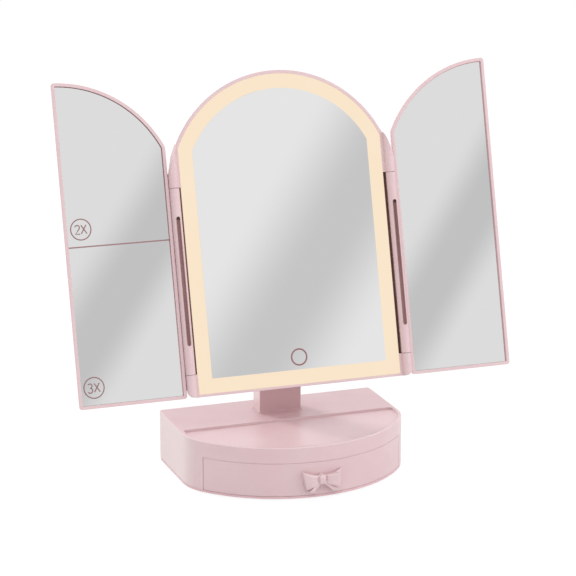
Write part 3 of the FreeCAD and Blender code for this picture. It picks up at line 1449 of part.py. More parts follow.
for item in doc.Objects:
    if "Invalid" in item.State or "Error" in item.State:
        raise RuntimeError(f"{item.Label} failed: {item.State}")
for label, item in nodes.items():
    if item.Shape.isNull() or not item.Shape.isValid() or not item.Shape.Solids:
        raise RuntimeError(f"{label} has no valid shape")

os.makedirs("parts", exist_ok=True)
for label, item in nodes.items():
    item.Shape.exportStep(f"parts/{label}.step")
    solids = len(item.Shape.Solids)
    print(f"{label}: {solids} solid(s), {item.Shape.Volume / 1000:.2f} cm3")
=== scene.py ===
"""Vanity mirror with two folding wings: its finishes, marks, seals, screws, bow and stage."""

import json
import math

import bmesh
import bpy
from bpy.props import FloatProperty, FloatVectorProperty, PointerProperty
from mathutils import Matrix, Vector


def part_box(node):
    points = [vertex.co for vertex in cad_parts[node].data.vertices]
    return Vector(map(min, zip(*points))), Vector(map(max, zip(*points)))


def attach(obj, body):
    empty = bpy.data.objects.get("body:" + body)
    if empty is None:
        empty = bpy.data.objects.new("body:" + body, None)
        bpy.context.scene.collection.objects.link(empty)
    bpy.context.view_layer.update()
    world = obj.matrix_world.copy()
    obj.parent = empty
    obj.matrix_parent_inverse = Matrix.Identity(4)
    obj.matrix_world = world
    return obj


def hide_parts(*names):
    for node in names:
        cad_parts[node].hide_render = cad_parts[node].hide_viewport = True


bl_info = {
    "name": "Vanity mirror",
    "version": (1, 0, 0),
    "blender": (4, 5, 0),
    "location": "3D View > Sidebar > Vanity mirror",
    "description": "Finishes and fine pieces of a trifold vanity mirror with a drawer",
    "category": "Object",
}

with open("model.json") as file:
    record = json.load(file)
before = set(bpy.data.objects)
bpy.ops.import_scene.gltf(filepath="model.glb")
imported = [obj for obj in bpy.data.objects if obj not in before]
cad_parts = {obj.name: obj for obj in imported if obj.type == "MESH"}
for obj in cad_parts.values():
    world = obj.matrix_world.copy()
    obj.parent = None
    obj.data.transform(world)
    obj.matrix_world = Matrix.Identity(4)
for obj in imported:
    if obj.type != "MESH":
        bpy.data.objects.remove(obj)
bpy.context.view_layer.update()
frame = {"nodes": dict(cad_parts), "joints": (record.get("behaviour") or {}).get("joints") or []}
NODES = frame["nodes"]
JOINTS = {joint["name"]: joint for joint in frame["joints"]}
MM = 0.001
MERGE_GAP = 0.002 * MM


# ---------------------------------------------------------------- places on the tilted panel

def panel_frame():
    """Matrix from panel coordinates (across, back, up) to the row frame, about the tilt axis."""
    up = Vector(JOINTS["left_wing_fold"]["axis"]).normalized()
    across = Vector((1, 0, 0))
    matrix = Matrix((across, up.cross(across), up)).transposed().to_4x4()
    matrix.translation = Vector(JOINTS["panel_tilt"]["pos_m"])
    return matrix


def extent(points):
    """Lowest and highest corner of a group of points."""
    return [Vector([pick(point[axis] for point in points) for axis in range(3)]) for pick in (min, max)]


def panel_box(node):
    """Lowest and highest corner of a CAD node in panel coordinates."""
    to_panel = PANEL.inverted()
    return extent([to_panel @ vertex.co for vertex in NODES[node].data.vertices])


PANEL = panel_frame()
TILT = PANEL.to_3x3()
GLASS_FRONT = panel_box("centre_mirror")[0].y
BAND_LOW = panel_box("light_diffuser")[0].z
BAND_SIDE = panel_box("light_diffuser")[1].x
WING_GLASS_FRONT = panel_box("right_mirror")[0].y
BARREL_FRONT = panel_box("right_wing_frame")[0].y
BARREL_SIDE = panel_box("right_wing_frame")[0].x
HINGE_LINE = abs(JOINTS["left_wing_fold"]["pos_m"][0])
HINGE_DEPTH = (PANEL.inverted() @ Vector(JOINTS["left_wing_fold"]["pos_m"])).y


def on_panel(across, proud, height):
    """Panel coordinates of a point in mm: from the middle, before the glass, above the band's lower edge."""
    return Vector((across * MM, GLASS_FRONT - proud * MM, BAND_LOW + height * MM))


# ---------------------------------------------------------------- settings

def linear(*levels):
    """Linear colour from 8-bit display levels."""
    shares = [level / 255 for level in levels]
    return tuple(s / 12.92 if s <= 0.04045 else ((s + 0.055) / 1.055) ** 2.4 for s in shares)


def colour_setting(name, description, levels):
    return FloatVectorProperty(
        name=name, description=description, subtype="COLOR", size=3, min=0, max=1, default=linear(*levels))


def length_setting(name, description, millimetres):
    return FloatProperty(
        name=name, description=description, unit="LENGTH", subtype="DISTANCE", default=millimetres * MM)


def angle_setting(name, description, degrees):
    return FloatProperty(
        name=name, description=description, unit="ROTATION", subtype="ANGLE", default=math.radians(degrees))


def power_setting(name, description, watts):
    return FloatProperty(name=name, description=description, unit="POWER", default=watts)


class VanityColours(bpy.types.PropertyGroup):
    """Colours of the mirror's finishes, and of its painted highlights, sheen, shade and reflection."""

    casing: colour_setting("Casing", "Moulded pink plastic of the housings", (219, 192, 195))
    # Painted highlight on the edges of the casings, and painted sheen on the neck's sides.
    casing_edge_highlight: colour_setting("Casing edge", "Casing where its edges catch the light", (232, 210, 210))
    casing_shade: colour_setting("Casing shade", "Slow cloudiness of its pigment", (217, 187, 191))
    # Painted highlight on the edges of the base, the drawer and the bow.
    base_edge: colour_setting("Base edge", "Painted highlight on the edges of the base and the drawer", (240, 222, 220))
    # Painted sheen on the faces of the base that turn to either side.
    base_flank_sheen: colour_setting("Base flanks", "Painted sheen on the ends of the base", (222, 204, 203))
    # The neck's colour is the casing plastic darkened as painted shade under the panel.
    neck: colour_setting("Neck", "Pink plastic of the neck, darkened as painted shade", (206, 174, 177))
    bow: colour_setting("Bow", "Moulded pink plastic of the bow", (223, 197, 200))
    drawer_lip: colour_setting("Drawer lip", "Felt lip behind the drawer front's edges", (232, 186, 192))
    plate: colour_setting("Base plate", "Plate under the base", (228, 190, 195))
    # The mirror colours paint a reflection: its light level, and the dark of its slanting sweep.
    mirror_light: colour_setting("Mirror, light", "Painted reflection where it is brightest", (229, 229, 229))
    mirror_dark: colour_setting("Mirror, dark", "Painted reflection in the middle of its sweep", (197, 197, 198))
    wing_light: colour_setting("Wing mirror, light", "Wing silvering at its brightest", (220, 220, 220))
    wing_dark: colour_setting("Wing mirror, dark", "Wing silvering in mid sweep", (193, 193, 194))
    band: colour_setting("Light band", "Warm light of the frosted band", (250, 230, 203))
    ink: colour_setting("Marks", "Ink of the touch ring and the magnifier marks", (152, 104, 106))
    # Hinge seals are dark as painted shade in the slits, darker on the right where that shade is deeper.
    left_seal: colour_setting("Left hinge seal", "Seal in the slit beside the left hinge", (104, 68, 68))
    right_seal: colour_setting("Right hinge seal", "Seal in the slit beside the right hinge", (84, 48, 44))
    # Slot liner: darker than the casing as painted shade inside the slot.
    slot_liner: colour_setting("Slot liner", "Channel that lines the barrel's slot", (160, 122, 121))
    # Slot stop: near black as painted shadow at the slot's top.
    shaded_slot_stop: colour_setting("Slot stop", "Bumper at the top of the barrel's slot", (46, 26, 24))
    # Hinge screens: dark as painted shade in the gap beside the knuckles.
    screen: colour_setting("Hinge screens", "Foam strips behind the knuckles", (138, 98, 99))
    washer: colour_setting("Hinge washers", "Washers in the hinges' seams", (226, 180, 185))
    # Wing gaskets are dark as painted shade of the glass's recess, paler towards the bottom.
    gasket: colour_setting("Gasket", "Gaskets of the wing glasses at their top", (122, 80, 82))
    gasket_low: colour_setting("Gasket, low", "Those gaskets at their bottom", (190, 150, 154))


class VanitySizes(bpy.types.PropertyGroup):
    """Sizes of the pieces that are added to the part."""

    touch_radius: length_setting("Touch ring radius", "Middle of the touch ring's line", 6.4)
    touch_line: length_setting("Touch ring line", "Width of the touch ring's line", 1.3)
    mark_radius: length_setting("Mark radius", "Middle of a magnifier mark's ring", 8.1)
    mark_line: length_setting("Mark line", "Width of a magnifier mark's lines", 0.9)
    numeral_height: length_setting("Numeral height", "Height of the marks' numerals", 6.9)
    relief: length_setting("Ink relief", "Height of the ink on the glass", 0.12)
    seal_depth: length_setting("Seal depth", "Front of a hinge seal behind the glass", 0.5)
    screw_head: length_setting("Screw head radius", "Heads of the small screws", 2.35)
    screw_rise: length_setting("Screw head height", "Heads of the small screws", 0.85)
    screw_shank: length_setting("Screw shank radius", "Shanks of the small screws", 1.05)
    screw_length: length_setting("Screw length", "Small screws under the head", 5.9)
    grain: length_setting("Plastic grain", "Height of the moulding grain", 0.02)
    edge: length_setting("Edge radius", "Softness of the moulded edges", 0.45)
    base_edge: length_setting("Base edge radius", "Softness of the base's edges", 1.0)
    lip: length_setting("Drawer lip thickness", "Felt lip in the drawer's running gap", 0.27)
    gasket: length_setting("Gasket width", "Gaskets of the wing glasses", 0.8)
    washer: length_setting("Washer radius", "Washers in the hinges' seams", 3.75)


class VanityStage(bpy.types.PropertyGroup):
    """Camera, lamps and floor."""

    azimuth: angle_setting("Camera azimuth", "Angle round the object, from its front", -19.8536)
    elevation: angle_setting("Camera elevation", "Angle above the floor", 14.9272)
    view_angle: angle_setting("Camera angle of view", "Angle that the square frame takes in", 14.2388)
    distance: length_setting("Camera distance", "Camera to its target", 1845.9)
    target: FloatVectorProperty(
        name="Camera target", description="Point in the middle of the frame", subtype="TRANSLATION",
        unit="LENGTH", size=3, default=(-5.2428 * MM, -1.25 * MM, 157.5691 * MM))
    sky: FloatProperty(name="Sky strength", description="Even light from all round", default=0.77)
    key: power_setting("Key lamp", "Power of the lamp behind at the left", 22.5)
    side: power_setting("Side lamp", "Power of the low lamp at the right", 9.5)
    front: power_setting("Front lamp", "Power of the high lamp in front", 8.4)


def settings():
    scene = bpy.context.scene
    return scene.vanity_colours, scene.vanity_sizes, scene.vanity_stage


# ---------------------------------------------------------------- node trees

def set_inputs(tree, node, inputs):
    """Set a node's sockets to values, or link them to the sockets that feed them."""
    for socket, value in inputs.items():
        if isinstance(value, bpy.types.NodeSocket):
            tree.links.new(value, node.inputs[socket])
        else:
            node.inputs[socket].default_value = value


def add(tree, kind, inputs=None, **options):
    """Add a node with its options and inputs."""
    node = tree.nodes.new(kind)
    for name, value in options.items():
        setattr(node, name, value)
    set_inputs(tree, node, inputs or {})
    return node


def calc(tree, operation, *values):
    return add(tree, "ShaderNodeMath", dict(enumerate(values)), operation=operation).outputs[0]


def dot(tree, first, second):
    return add(tree, "ShaderNodeVectorMath", {0: first, 1: second}, operation="DOT_PRODUCT").outputs["Value"]


def scaled(tree, value, span, result, **options):
    """Map a value from one span to another, held at the ends."""
    inputs = {
        "Value": value, "From Min": span[0], "From Max": span[1], "To Min": result[0], "To Max": result[1]}
    return add(tree, "ShaderNodeMapRange", inputs, **options).outputs["Result"]


def varied(tree, pattern, low, high):
    """Spread the usual levels of a noise pattern over a range of values."""
    return scaled(tree, pattern, (0.3, 0.7), (low, high))


def contrast(tree, pattern):
    """Noise pattern with its middle levels spread from 0 to 1."""
    return scaled(tree, pattern, (0.35, 0.65), (0.0, 1.0))


def blend_colours(tree, share, first, second):
    """Mix two colours. The colour sockets of a Mix node are its seventh and eighth."""
    return add(tree, "ShaderNodeMix", {0: share, 6: first, 7: second}, data_type="RGBA").outputs[2]


def noise(tree, place, scale, detail=2.0, roughness=0.5):
    inputs = {"Vector": place, "Scale": scale, "Detail": detail, "Roughness": roughness}
    return add(tree, "ShaderNodeTexNoise", inputs).outputs[0]


def object_place(tree):
    return add(tree, "ShaderNodeTexCoord").outputs["Object"]


def bumped(tree, height, strength, depth, **normal):
    """Normal of a fine relief of the given depth."""
    inputs = {"Height": height, "Strength": strength, "Distance": depth, **normal}
    return add(tree, "ShaderNodeBump", inputs).outputs[0]


def effect(name, inputs, outputs, build):
    """Shader node group that several materials share, built once."""
    tree = bpy.data.node_groups.get(name)
    if tree:
        return tree
    tree = bpy.data.node_groups.new(name, "ShaderNodeTree")
    kinds = {"Colour": "NodeSocketColor", "Stretch": "NodeSocketVector", "Normal": "NodeSocketVector"}
    for label, value in inputs.items():
        kind = kinds.get(label.split()[-1], "NodeSocketFloat")
        tree.interface.new_socket(label, in_out="INPUT", socket_type=kind).default_value = value
    for label in outputs:
        tree.interface.new_socket(label, in_out="OUTPUT", socket_type=kinds.get(label, "NodeSocketFloat"))
    given = tree.nodes.new("NodeGroupInput").outputs
    result = tree.nodes.new("NodeGroupOutput")
    set_inputs(tree, result, build(tree, given))
    return tree


def moulded_skin():
    """Moulded plastic: cloudy pigment, painted highlights on its edges, painted sheen on its flanks,
    spark-eroded grain.
    """

    def build(tree, given):
        place = object_place(tree)
        cloud = noise(tree, place, given["Cloud Scale"], 3.0, 0.6)
        grain = noise(tree, place, given["Grain Scale"], 2.0, 0.7)
        rounded = add(tree, "ShaderNodeBevel", {"Radius": given["Edge Radius"]}, samples=6).outputs[0]
        sharp = add(tree, "ShaderNodeNewGeometry").outputs["Normal"]
        parts = add(tree, "ShaderNodeSeparateXYZ", {0: sharp}).outputs
        # Where the rounded normal turns from the true one, along edges, the colour gets a painted highlight.
        turned_away = scaled(tree, dot(tree, rounded, sharp), (0.995, 0.9), (0.0, 1.0))
        edge = calc(tree, "MULTIPLY", turned_away, given["Edge Share"])
        # The ridge mask is 1 where a surface faces half upwards, as the rounding of a top edge does, and
        # paints a highlight there.
        upward = calc(tree, "MULTIPLY", parts["Z"], parts["Z"])
        ridge = calc(tree, "MULTIPLY", upward, calc(tree, "MULTIPLY_ADD", upward, -4.0, 4.0))
        rim = calc(tree, "MULTIPLY", calc(tree, "POWER", ridge, 3.0), given["Upper Edge Share"])
        # Faces turned to either side get a painted sheen in the flank colour.
        sideways = calc(tree, "POWER", calc(tree, "ABSOLUTE", parts["X"]), 8.0)
        flank = calc(tree, "MULTIPLY", sideways, given["Flank Share"])
        body = blend_colours(tree, contrast(tree, cloud), given["Colour"], given["Shade Colour"])
        edge_highlighted = blend_colours(tree, calc(tree, "MAXIMUM", edge, rim), body, given["Edge Colour"])
        return {
            "Colour": blend_colours(tree, flank, edge_highlighted, given["Flank Colour"]),
            "Roughness": calc(tree, "ADD", given["Roughness"], varied(tree, cloud, -0.03, 0.03)),
            "Height": grain,
            "Normal": rounded,
        }

    inputs = {
        "Colour": (0.7, 0.5, 0.5, 1), "Edge Colour": (0.8, 0.6, 0.6, 1), "Shade Colour": (0.6, 0.4, 0.4, 1),
        "Flank Colour": (0.7, 0.5, 0.5, 1), "Edge Share": 0.5, "Upper Edge Share": 0.0, "Flank Share": 0.0,
        "Edge Radius": 0.5 * MM, "Cloud Scale": 30.0, "Grain Scale": 1800.0, "Roughness": 0.4,
    }
    return effect("Moulded skin", inputs, ["Colour", "Roughness", "Height", "Normal"], build)


def worked_metal():
    """Drawn, rolled or plated metal: streaks along one direction over a mottled plating."""

    def build(tree, given):
        place = object_place(tree)
        along = add(tree, "ShaderNodeVectorMath", {0: place, 1: given["Brush Stretch"]}, operation="MULTIPLY")
        streaks = noise(tree, along.outputs[0], 1.0, 3.0, 0.6)
        mottle = noise(tree, place, given["Mottle Scale"], 2.0, 0.5)
        both = calc(tree, "MULTIPLY_ADD", streaks, 0.6, calc(tree, "MULTIPLY", mottle, 0.4))
        return {
            "Colour": blend_colours(tree, contrast(tree, both), given["Colour"], given["Dark Colour"]),
            "Roughness": varied(tree, both, given["Smooth"], given["Rough"]),
            "Height": streaks,
        }

    inputs = {
        "Colour": (0.7, 0.7, 0.7, 1), "Dark Colour": (0.5, 0.5, 0.5, 1), "Brush Stretch": (300, 300, 300),
        "Mottle Scale": 200.0, "Smooth": 0.2, "Rough": 0.4,
    }
    return effect("Worked metal", inputs, ["Colour", "Roughness", "Height"], build)


def painted_reflection_sweep():
    """Painted reflection in a mirror's colour: a darker slanting band, as a pane under a tall soft window
    shows.
    """

    def build(tree, given):
        place = object_place(tree)
        along = calc(tree, "SUBTRACT", dot(tree, place, given["Sweep Stretch"]), given["Middle"])
        ragged = calc(tree, "MULTIPLY_ADD", noise(tree, place, 14.0, 2.0), 0.002, along)
        start = calc(tree, "MULTIPLY", given["Fall"], -1.0)
        soft = {"interpolation_type": "SMOOTHSTEP"}
        falling = scaled(tree, ragged, (start, 0.0), (0.0, 1.0), **soft)
        rising = scaled(tree, ragged, (given["Floor"], given["Rise"]), (1.0, 0.0), **soft)
        depth = calc(tree, "MULTIPLY", falling, rising)
        return {
            "Colour": blend_colours(tree, depth, given["Colour"], given["Dark Colour"]),
            "Roughness": varied(tree, noise(tree, place, 60.0, 3.0), 0.012, 0.03),
        }

    inputs = {
        "Colour": (0.8, 0.8, 0.8, 1), "Dark Colour": (0.5, 0.5, 0.5, 1), "Sweep Stretch": (0.83, 0, -0.56),
        "Middle": 0.0, "Fall": 0.08, "Floor": 0.0, "Rise": 0.07,
    }
    return effect("Painted reflection sweep", inputs, ["Colour", "Roughness"], build)


def new_material(name):
    """Material with its tree and Principled shader. Both are None if the material is there already."""
    material = bpy.data.materials.get(name)
    if material:
        return material, None, None
    material = bpy.data.materials.new(name)
    material.use_nodes = True
    tree = material.node_tree
    tree.nodes.clear()
    shader = add(tree, "ShaderNodeBsdfPrincipled")
    add(tree, "ShaderNodeOutputMaterial", {"Surface": shader.outputs[0]})
    return material, tree, shader


def opaque(rgb):
    return (*rgb, 1.0)


def moulded(name, rgb, edge=None, shade=None, flank=None, roughness=0.4, grain=0.02 * MM, grain_scale=1500.0,
            bump=0.25, coat=0.0, coat_roughness=0.45, edge_share=0.5, upper_highlight_share=0.0, edge_radius=0.45 * MM):
    """Plastic, rubber, foam or paint finish from the moulded skin, with painted highlights on its edges and
    painted sheen on its flanks where a flank colour is given.
    """
    material, tree, shader = new_material(name)
    if not tree:
        return material
    skin = add(tree, "ShaderNodeGroup", {
        "Colour": opaque(rgb),
        # Unless given, the painted edge highlight is the body colour made paler.
        "Edge Colour": opaque(edge or [min(1.0, part * 1.18 + 0.01) for part in rgb]),
        "Shade Colour": opaque(shade or [part * 0.93 for part in rgb]),
        "Flank Colour": opaque(flank or rgb), "Flank Share": 1.0 if flank else 0.0,
        "Edge Share": edge_share, "Upper Edge Share": upper_highlight_share, "Edge Radius": edge_radius,
        "Grain Scale": grain_scale, "Roughness": roughness,
    }, node_tree=moulded_skin()).outputs
    set_inputs(tree, shader, {
        "Base Color": skin["Colour"], "Roughness": skin["Roughness"], "Coat Weight": coat,
        "Coat Roughness": coat_roughness,
        "Normal": bumped(tree, skin["Height"], bump, grain, Normal=skin["Normal"]),
    })
    return material


def metal(name, levels, dark_levels, stretch, smooth=0.2, rough=0.4, mottle=200.0, bump=0.2):
    """Metal finish from the worked metal. stretch is the streaks' fineness along X, Y and Z."""
    material, tree, shader = new_material(name)
    if not tree:
        return material
    skin = add(tree, "ShaderNodeGroup", {
        "Colour": opaque(linear(*levels)), "Dark Colour": opaque(linear(*dark_levels)),
        "Brush Stretch": stretch, "Mottle Scale": mottle, "Smooth": smooth, "Rough": rough,
    }, node_tree=worked_metal()).outputs
    set_inputs(tree, shader, {
        "Base Color": skin["Colour"], "Roughness": skin["Roughness"], "Metallic": 1.0,
        "Normal": bumped(tree, skin["Height"], bump, 0.01 * MM),
    })
    return material


def zinc_plate():
    return metal("Zinc plate", (200, 202, 204), (150, 152, 158), (500, 500, 500), 0.25, 0.45, 300.0)


# ---------------------------------------------------------------- pieces

def dress(slot, material):
    """Give a finish to every CAD node of one of the record's material slots."""
    found = [node for node in NODES.values() if node.material_slots[0].material.name.split(".")[0] == slot]
    if not found:
        raise RuntimeError(f"no CAD node has the slot {slot}")
    for node in found:
        node.material_slots[0].material = material


def new_object(name, data):
    item = bpy.data.objects.new(name, data)
    bpy.context.scene.collection.objects.link(item)
    return item


def finish_piece(name, mesh, material, body, replaces=(), smooth=True):
    """Link a finished mesh as a piece that rides on a body."""
    mesh.name = name
    mesh.materials.clear()
    mesh.materials.append(material)
    mesh.polygons.foreach_set("use_smooth", [smooth] * len(mesh.polygons))
    piece = new_object(name, mesh)
    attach(piece, body)
    if replaces:
        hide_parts(*replaces)


def mesh_from(build, *values):
    """Mesh from a function that fills a bmesh, with its normals turned outwards."""
    shape = bmesh.new()
    build(shape, *values)
    bmesh.ops.recalc_face_normals(shape, faces=shape.faces)
    mesh = bpy.data.meshes.new("piece")
    shape.to_mesh(mesh)
    shape.free()
    return mesh


def evaluated_mesh(item):
    """Plain mesh of an object as its modifiers or curve settings leave it. The object is removed."""
    bpy.context.view_layer.update()
    mesh = bpy.data.meshes.new_from_object(item.evaluated_get(bpy.context.evaluated_depsgraph_get()))
    bpy.data.objects.remove(item)
    return mesh


def merged_copy(node):
    """Copy of a CAD node's mesh, with its loose triangles joined at their corners."""
    shape = bmesh.new()
    shape.from_mesh(NODES[node].data)
    bmesh.ops.remove_doubles(shape, verts=shape.verts, dist=MERGE_GAP)
    return shape


def loft(shape, rings, hoop=False):
    """Closed skin through rings of equal count. A hoop joins its ends, and any other skin is capped."""
    loops = [[shape.verts.new(point) for point in ring] for ring in rings]
    for first, second in zip(loops, loops[1:] + (loops[:1] if hoop else [])):
        for index in range(len(first)):
            after = (index + 1) % len(first)
            shape.faces.new((first[index], first[after], second[after], second[index]))
    if not hoop:
        shape.faces.new(loops[0])
        shape.faces.new(list(reversed(loops[-1])))


def prism(shape, outline, run):
    """Closed bar: an outline of points, carried along a run."""
    loft(shape, [outline, [point + run for point in outline]])


def arc(centre, radius, start, end, steps):
    """Points on a circle in the drawing plane, angles in degrees."""
    turns = [math.radians(start + (end - start) * index / steps) for index in range(steps + 1)]
    return [(centre[0] + radius * math.cos(turn), centre[1] + radius * math.sin(turn)) for turn in turns]


def circle(centre, radius, steps):
    return arc(centre, radius, 0, 360, steps)[:-1]


def drawn_lines(lines, width, relief, centre):
    """Mesh of raised lines on the glass. lines are (points, closed) in metres about the centre."""
    curve = bpy.data.curves.new("lines", "CURVE")
    curve.dimensions = "3D"
    curve.bevel_depth = width / 2
    curve.bevel_resolution = 3
    curve.use_fill_caps = True
    for points, closed in lines:
        spline = curve.splines.new("POLY")
        spline.points.add(len(points) - 1)
        for point, (across, up) in zip(spline.points, points):
            point.co = (across, 0, up, 1)
        spline.use_cyclic_u = closed
    mesh = evaluated_mesh(new_object("lines", curve))
    bpy.data.curves.remove(curve)
    mesh.transform(Matrix.Diagonal((1, 2 * relief / width, 1, 1)))
    mesh.transform(PANEL @ Matrix.Translation(centre))
    return mesh


# ---------------------------------------------------------------- operators

class VANITY_OT_stage(bpy.types.Operator):
    """Pale floor, even sky, three soft lamps and the camera"""

    bl_idname = "vanity.stage"
    bl_label = "Stage"

    FLOOR_REACH = 8.0
    LAMP_AIM = Vector((0, 0, 0.15))

    def execute(self, context):
        _, _, stage = settings()
        context.scene.view_settings.view_transform = "Standard"
        self.add_floor()
        self.add_sky(context.scene, stage)
        self.add_lamp("Key lamp", Vector((-0.85, 1.73, 1.2)), 0.5, stage.key)
        self.add_lamp("Side lamp", Vector((1.6, -1.0, 0.55)), 1.2, stage.side)
        self.add_lamp("Front lamp", Vector((-0.3, -1.2, 1.6)), 1.2, stage.front)
        self.add_camera(context.scene, stage)
        return {"FINISHED"}

    def add_floor(self):
        """Floor that shows white with the object's shadow, and lights the object as pale paper does."""

        def build(shape):
            reach = self.FLOOR_REACH
            corners = [(-reach, -reach), (reach, -reach), (reach, reach), (-reach, reach)]
            shape.faces.new([shape.verts.new((x, y, 0)) for x, y in corners])

        floor = new_object("floor", mesh_from(build))
        material, tree, shader = new_material("Pale floor")
        speck = varied(tree, noise(tree, object_place(tree), 40.0), 0.80, 0.83)
        set_inputs(tree, shader, {"Base Color": speck, "Roughness": 0.9, "Specular IOR Level": 0.1})
        glow = add(tree, "ShaderNodeEmission", {"Strength": 0.86})
        shaded = add(tree, "ShaderNodeBsdfDiffuse", {"Color": (0.17, 0.168, 0.168, 1)})
        shown = add(tree, "ShaderNodeAddShader", {0: glow.outputs[0], 1: shaded.outputs[0]})
        choice = add(tree, "ShaderNodeMixShader", {
            0: seen_directly(tree), 1: shader.outputs[0], 2: shown.outputs[0]})
        tree.links.new(choice.outputs[0], tree.nodes["Material Output"].inputs["Surface"])
        floor.data.materials.append(material)

    def add_sky(self, scene, stage):
        """Even light on the object, and plain white where the sky is seen."""
        world = bpy.data.worlds.new("Sky")
        scene.world = world
        world.use_nodes = True
        tree = world.node_tree
        tree.nodes.clear()
        even = add(tree, "ShaderNodeBackground", {"Color": (1.0, 0.99, 0.985, 1), "Strength": stage.sky})
        white = add(tree, "ShaderNodeBackground", {"Color": (1, 1, 1, 1), "Strength": 1.0})
        choice = add(tree, "ShaderNodeMixShader", {
            0: seen_directly(tree), 1: even.outputs[0], 2: white.outputs[0]})
        add(tree, "ShaderNodeOutputWorld", {"Surface": choice.outputs[0]})

    def add_lamp(self, name, place, size, power):
        lamp = bpy.data.lights.new(name, "AREA")
        lamp.size = size
        lamp.energy = power
        item = new_object(name, lamp)
        item.location = place
        item.rotation_euler = (place - self.LAMP_AIM).to_track_quat("Z", "Y").to_euler()
        item.visible_camera = False
        item.visible_glossy = False

    def add_camera(self, scene, stage):
        camera = bpy.data.cameras.new("Camera")
        camera.sensor_fit = "HORIZONTAL"
        camera.angle = stage.view_angle
        camera.clip_start = 0.1
        camera.clip_end = 50
        item = new_object("Camera", camera)
        turn, rise = stage.azimuth, stage.elevation
        back = Vector((math.sin(turn) * math.cos(rise), -math.cos(turn) * math.cos(rise), math.sin(rise)))
        item.location = Vector(stage.target) + back * stage.distance
        item.rotation_euler = back.to_track_quat("Z", "Y").to_euler()
        scene.camera = item


def seen_directly(tree):
    """1 on rays from the camera, a mirror or glass, and 0 on light that falls on a surface."""
    rays = add(tree, "ShaderNodeLightPath").outputs
    either = calc(tree, "MAXIMUM", rays["Is Camera Ray"], rays["Is Glossy Ray"])
    return calc(tree, "MAXIMUM", either, rays["Is Transmission Ray"])


class VANITY_OT_casings(bpy.types.Operator):
    """Moulded pink plastic of the housings, and the base plate and feet"""

    bl_idname = "vanity.casings"
    bl_label = "Casings"

    def execute(self, context):
        colours, sizes, _ = settings()
        # Casings get painted highlights on their edges.
        casing = moulded(
            "Pink casing plastic", colours.casing, colours.casing_edge_highlight, colours.casing_shade, roughness=0.34,
            grain=sizes.grain, coat=0.45, edge_share=0.75, edge_radius=sizes.edge)
        # The base and drawer get painted highlights on edges and top edges, and painted sheen on their ends.
        base = moulded(
            "Pink base plastic", colours.casing, colours.base_edge, colours.casing_shade, colours.base_flank_sheen,
            roughness=0.34, grain=sizes.grain, coat=0.7, coat_roughness=0.65, edge_share=0.3, upper_highlight_share=0.8,
            edge_radius=sizes.base_edge)
        # Neck: darker as painted shade, with painted sheen in the edge highlight colour on its sides.
        neck = moulded(
            "Pink neck plastic with painted shade and sheen", colours.neck, colours.casing_edge_highlight, flank=colours.casing_edge_highlight, roughness=0.34,
            grain=sizes.grain, coat=0.6, coat_roughness=0.3, edge_share=0.75, edge_radius=sizes.edge)
        feet = moulded("Foot rubber", linear(92, 84, 84), roughness=0.75, grain=0.05 * MM, grain_scale=900.0)
        dress("pink_plastic", casing)
        for name, material in {"base_shell": base, "drawer_tray": base, "neck_column": neck}.items():
            NODES[name].material_slots[0].material = material
        dress("plate_plastic", moulded("Base plate plastic", colours.plate, roughness=0.5, bump=0.4))
        dress("foot_rubber", feet)
        return {"FINISHED"}


class VANITY_OT_mirrors(bpy.types.Operator):
    """Silvered glass of the centre and the wings, with a painted reflection in its colour"""

    bl_idname = "vanity.mirrors"
    bl_label = "Mirrors"

    # Run of the painted reflection's sweep in panel coordinates. Each glass then has its colours, where the
    # dark band lies along that run from the tilt axis, and from there the lengths of its fall, its floor and
    # its rise.
    SLANT = Vector((0.8, 0, -0.6))
    SWEEPS = {
        "centre_mirror": ("mirror", 30.4, 64.1, 14.7, 77.6),
        "left_mirror_upper": ("wing", -96.3, 35.4, 17.2, 50.2),
        "left_mirror_lower": ("wing", -96.3, 35.4, 17.2, 50.2),
        "right_mirror": ("wing", 128.1, 33.5, 15.9, 47.4),
    }

    def execute(self, context):
        colours, _, _ = settings()
        slant = TILT @ self.SLANT
        for name, (kind, middle, fall, floor, rise) in self.SWEEPS.items():
            material, tree, shader = new_material(f"Silvered glass, {name.replace('_', ' ')}")
            skin = add(tree, "ShaderNodeGroup", {
                "Colour": opaque(getattr(colours, f"{kind}_light")),
                "Dark Colour": opaque(getattr(colours, f"{kind}_dark")), "Sweep Stretch": slant,
                "Middle": middle * MM + slant.dot(PANEL.translation), "Fall": fall * MM, "Floor": floor * MM,
                "Rise": rise * MM,
            }, node_tree=painted_reflection_sweep()).outputs
            set_inputs(tree, shader, {
                "Base Color": skin["Colour"], "Roughness": skin["Roughness"], "Metallic": 1.0})
            NODES[name].material_slots[0].material = material
        return {"FINISHED"}


class VANITY_OT_light_band(bpy.types.Operator):
    """Frosted band that glows evenly round the centre mirror"""

    bl_idname = "vanity.light_band"
    bl_label = "Light band"

    def execute(self, context):
        colours, _, _ = settings()
        material, tree, shader = new_material("Glowing frosted band")
        place = object_place(tree)
        glow = varied(tree, noise(tree, place, 22.0, 2.0), 0.0, 1.0)
        warm = [part * share for part, share in zip(colours.band, (1.0, 0.985, 0.965))]
        frost = noise(tree, place, 2600.0, 2.0)
        set_inputs(tree, shader, {
            "Base Color": varied(tree, frost, 0.02, 0.03), "Roughness": varied(tree, frost, 0.55, 0.7),
            "Specular IOR Level": 0.0, "Normal": bumped(tree, frost, 0.3, 0.02 * MM),
            "Emission Color": blend_colours(tree, glow, opaque(colours.band), opaque(warm)),
            "Emission Strength": 0.97,
        })
        dress("frosted_band", material)
        return {"FINISHED"}


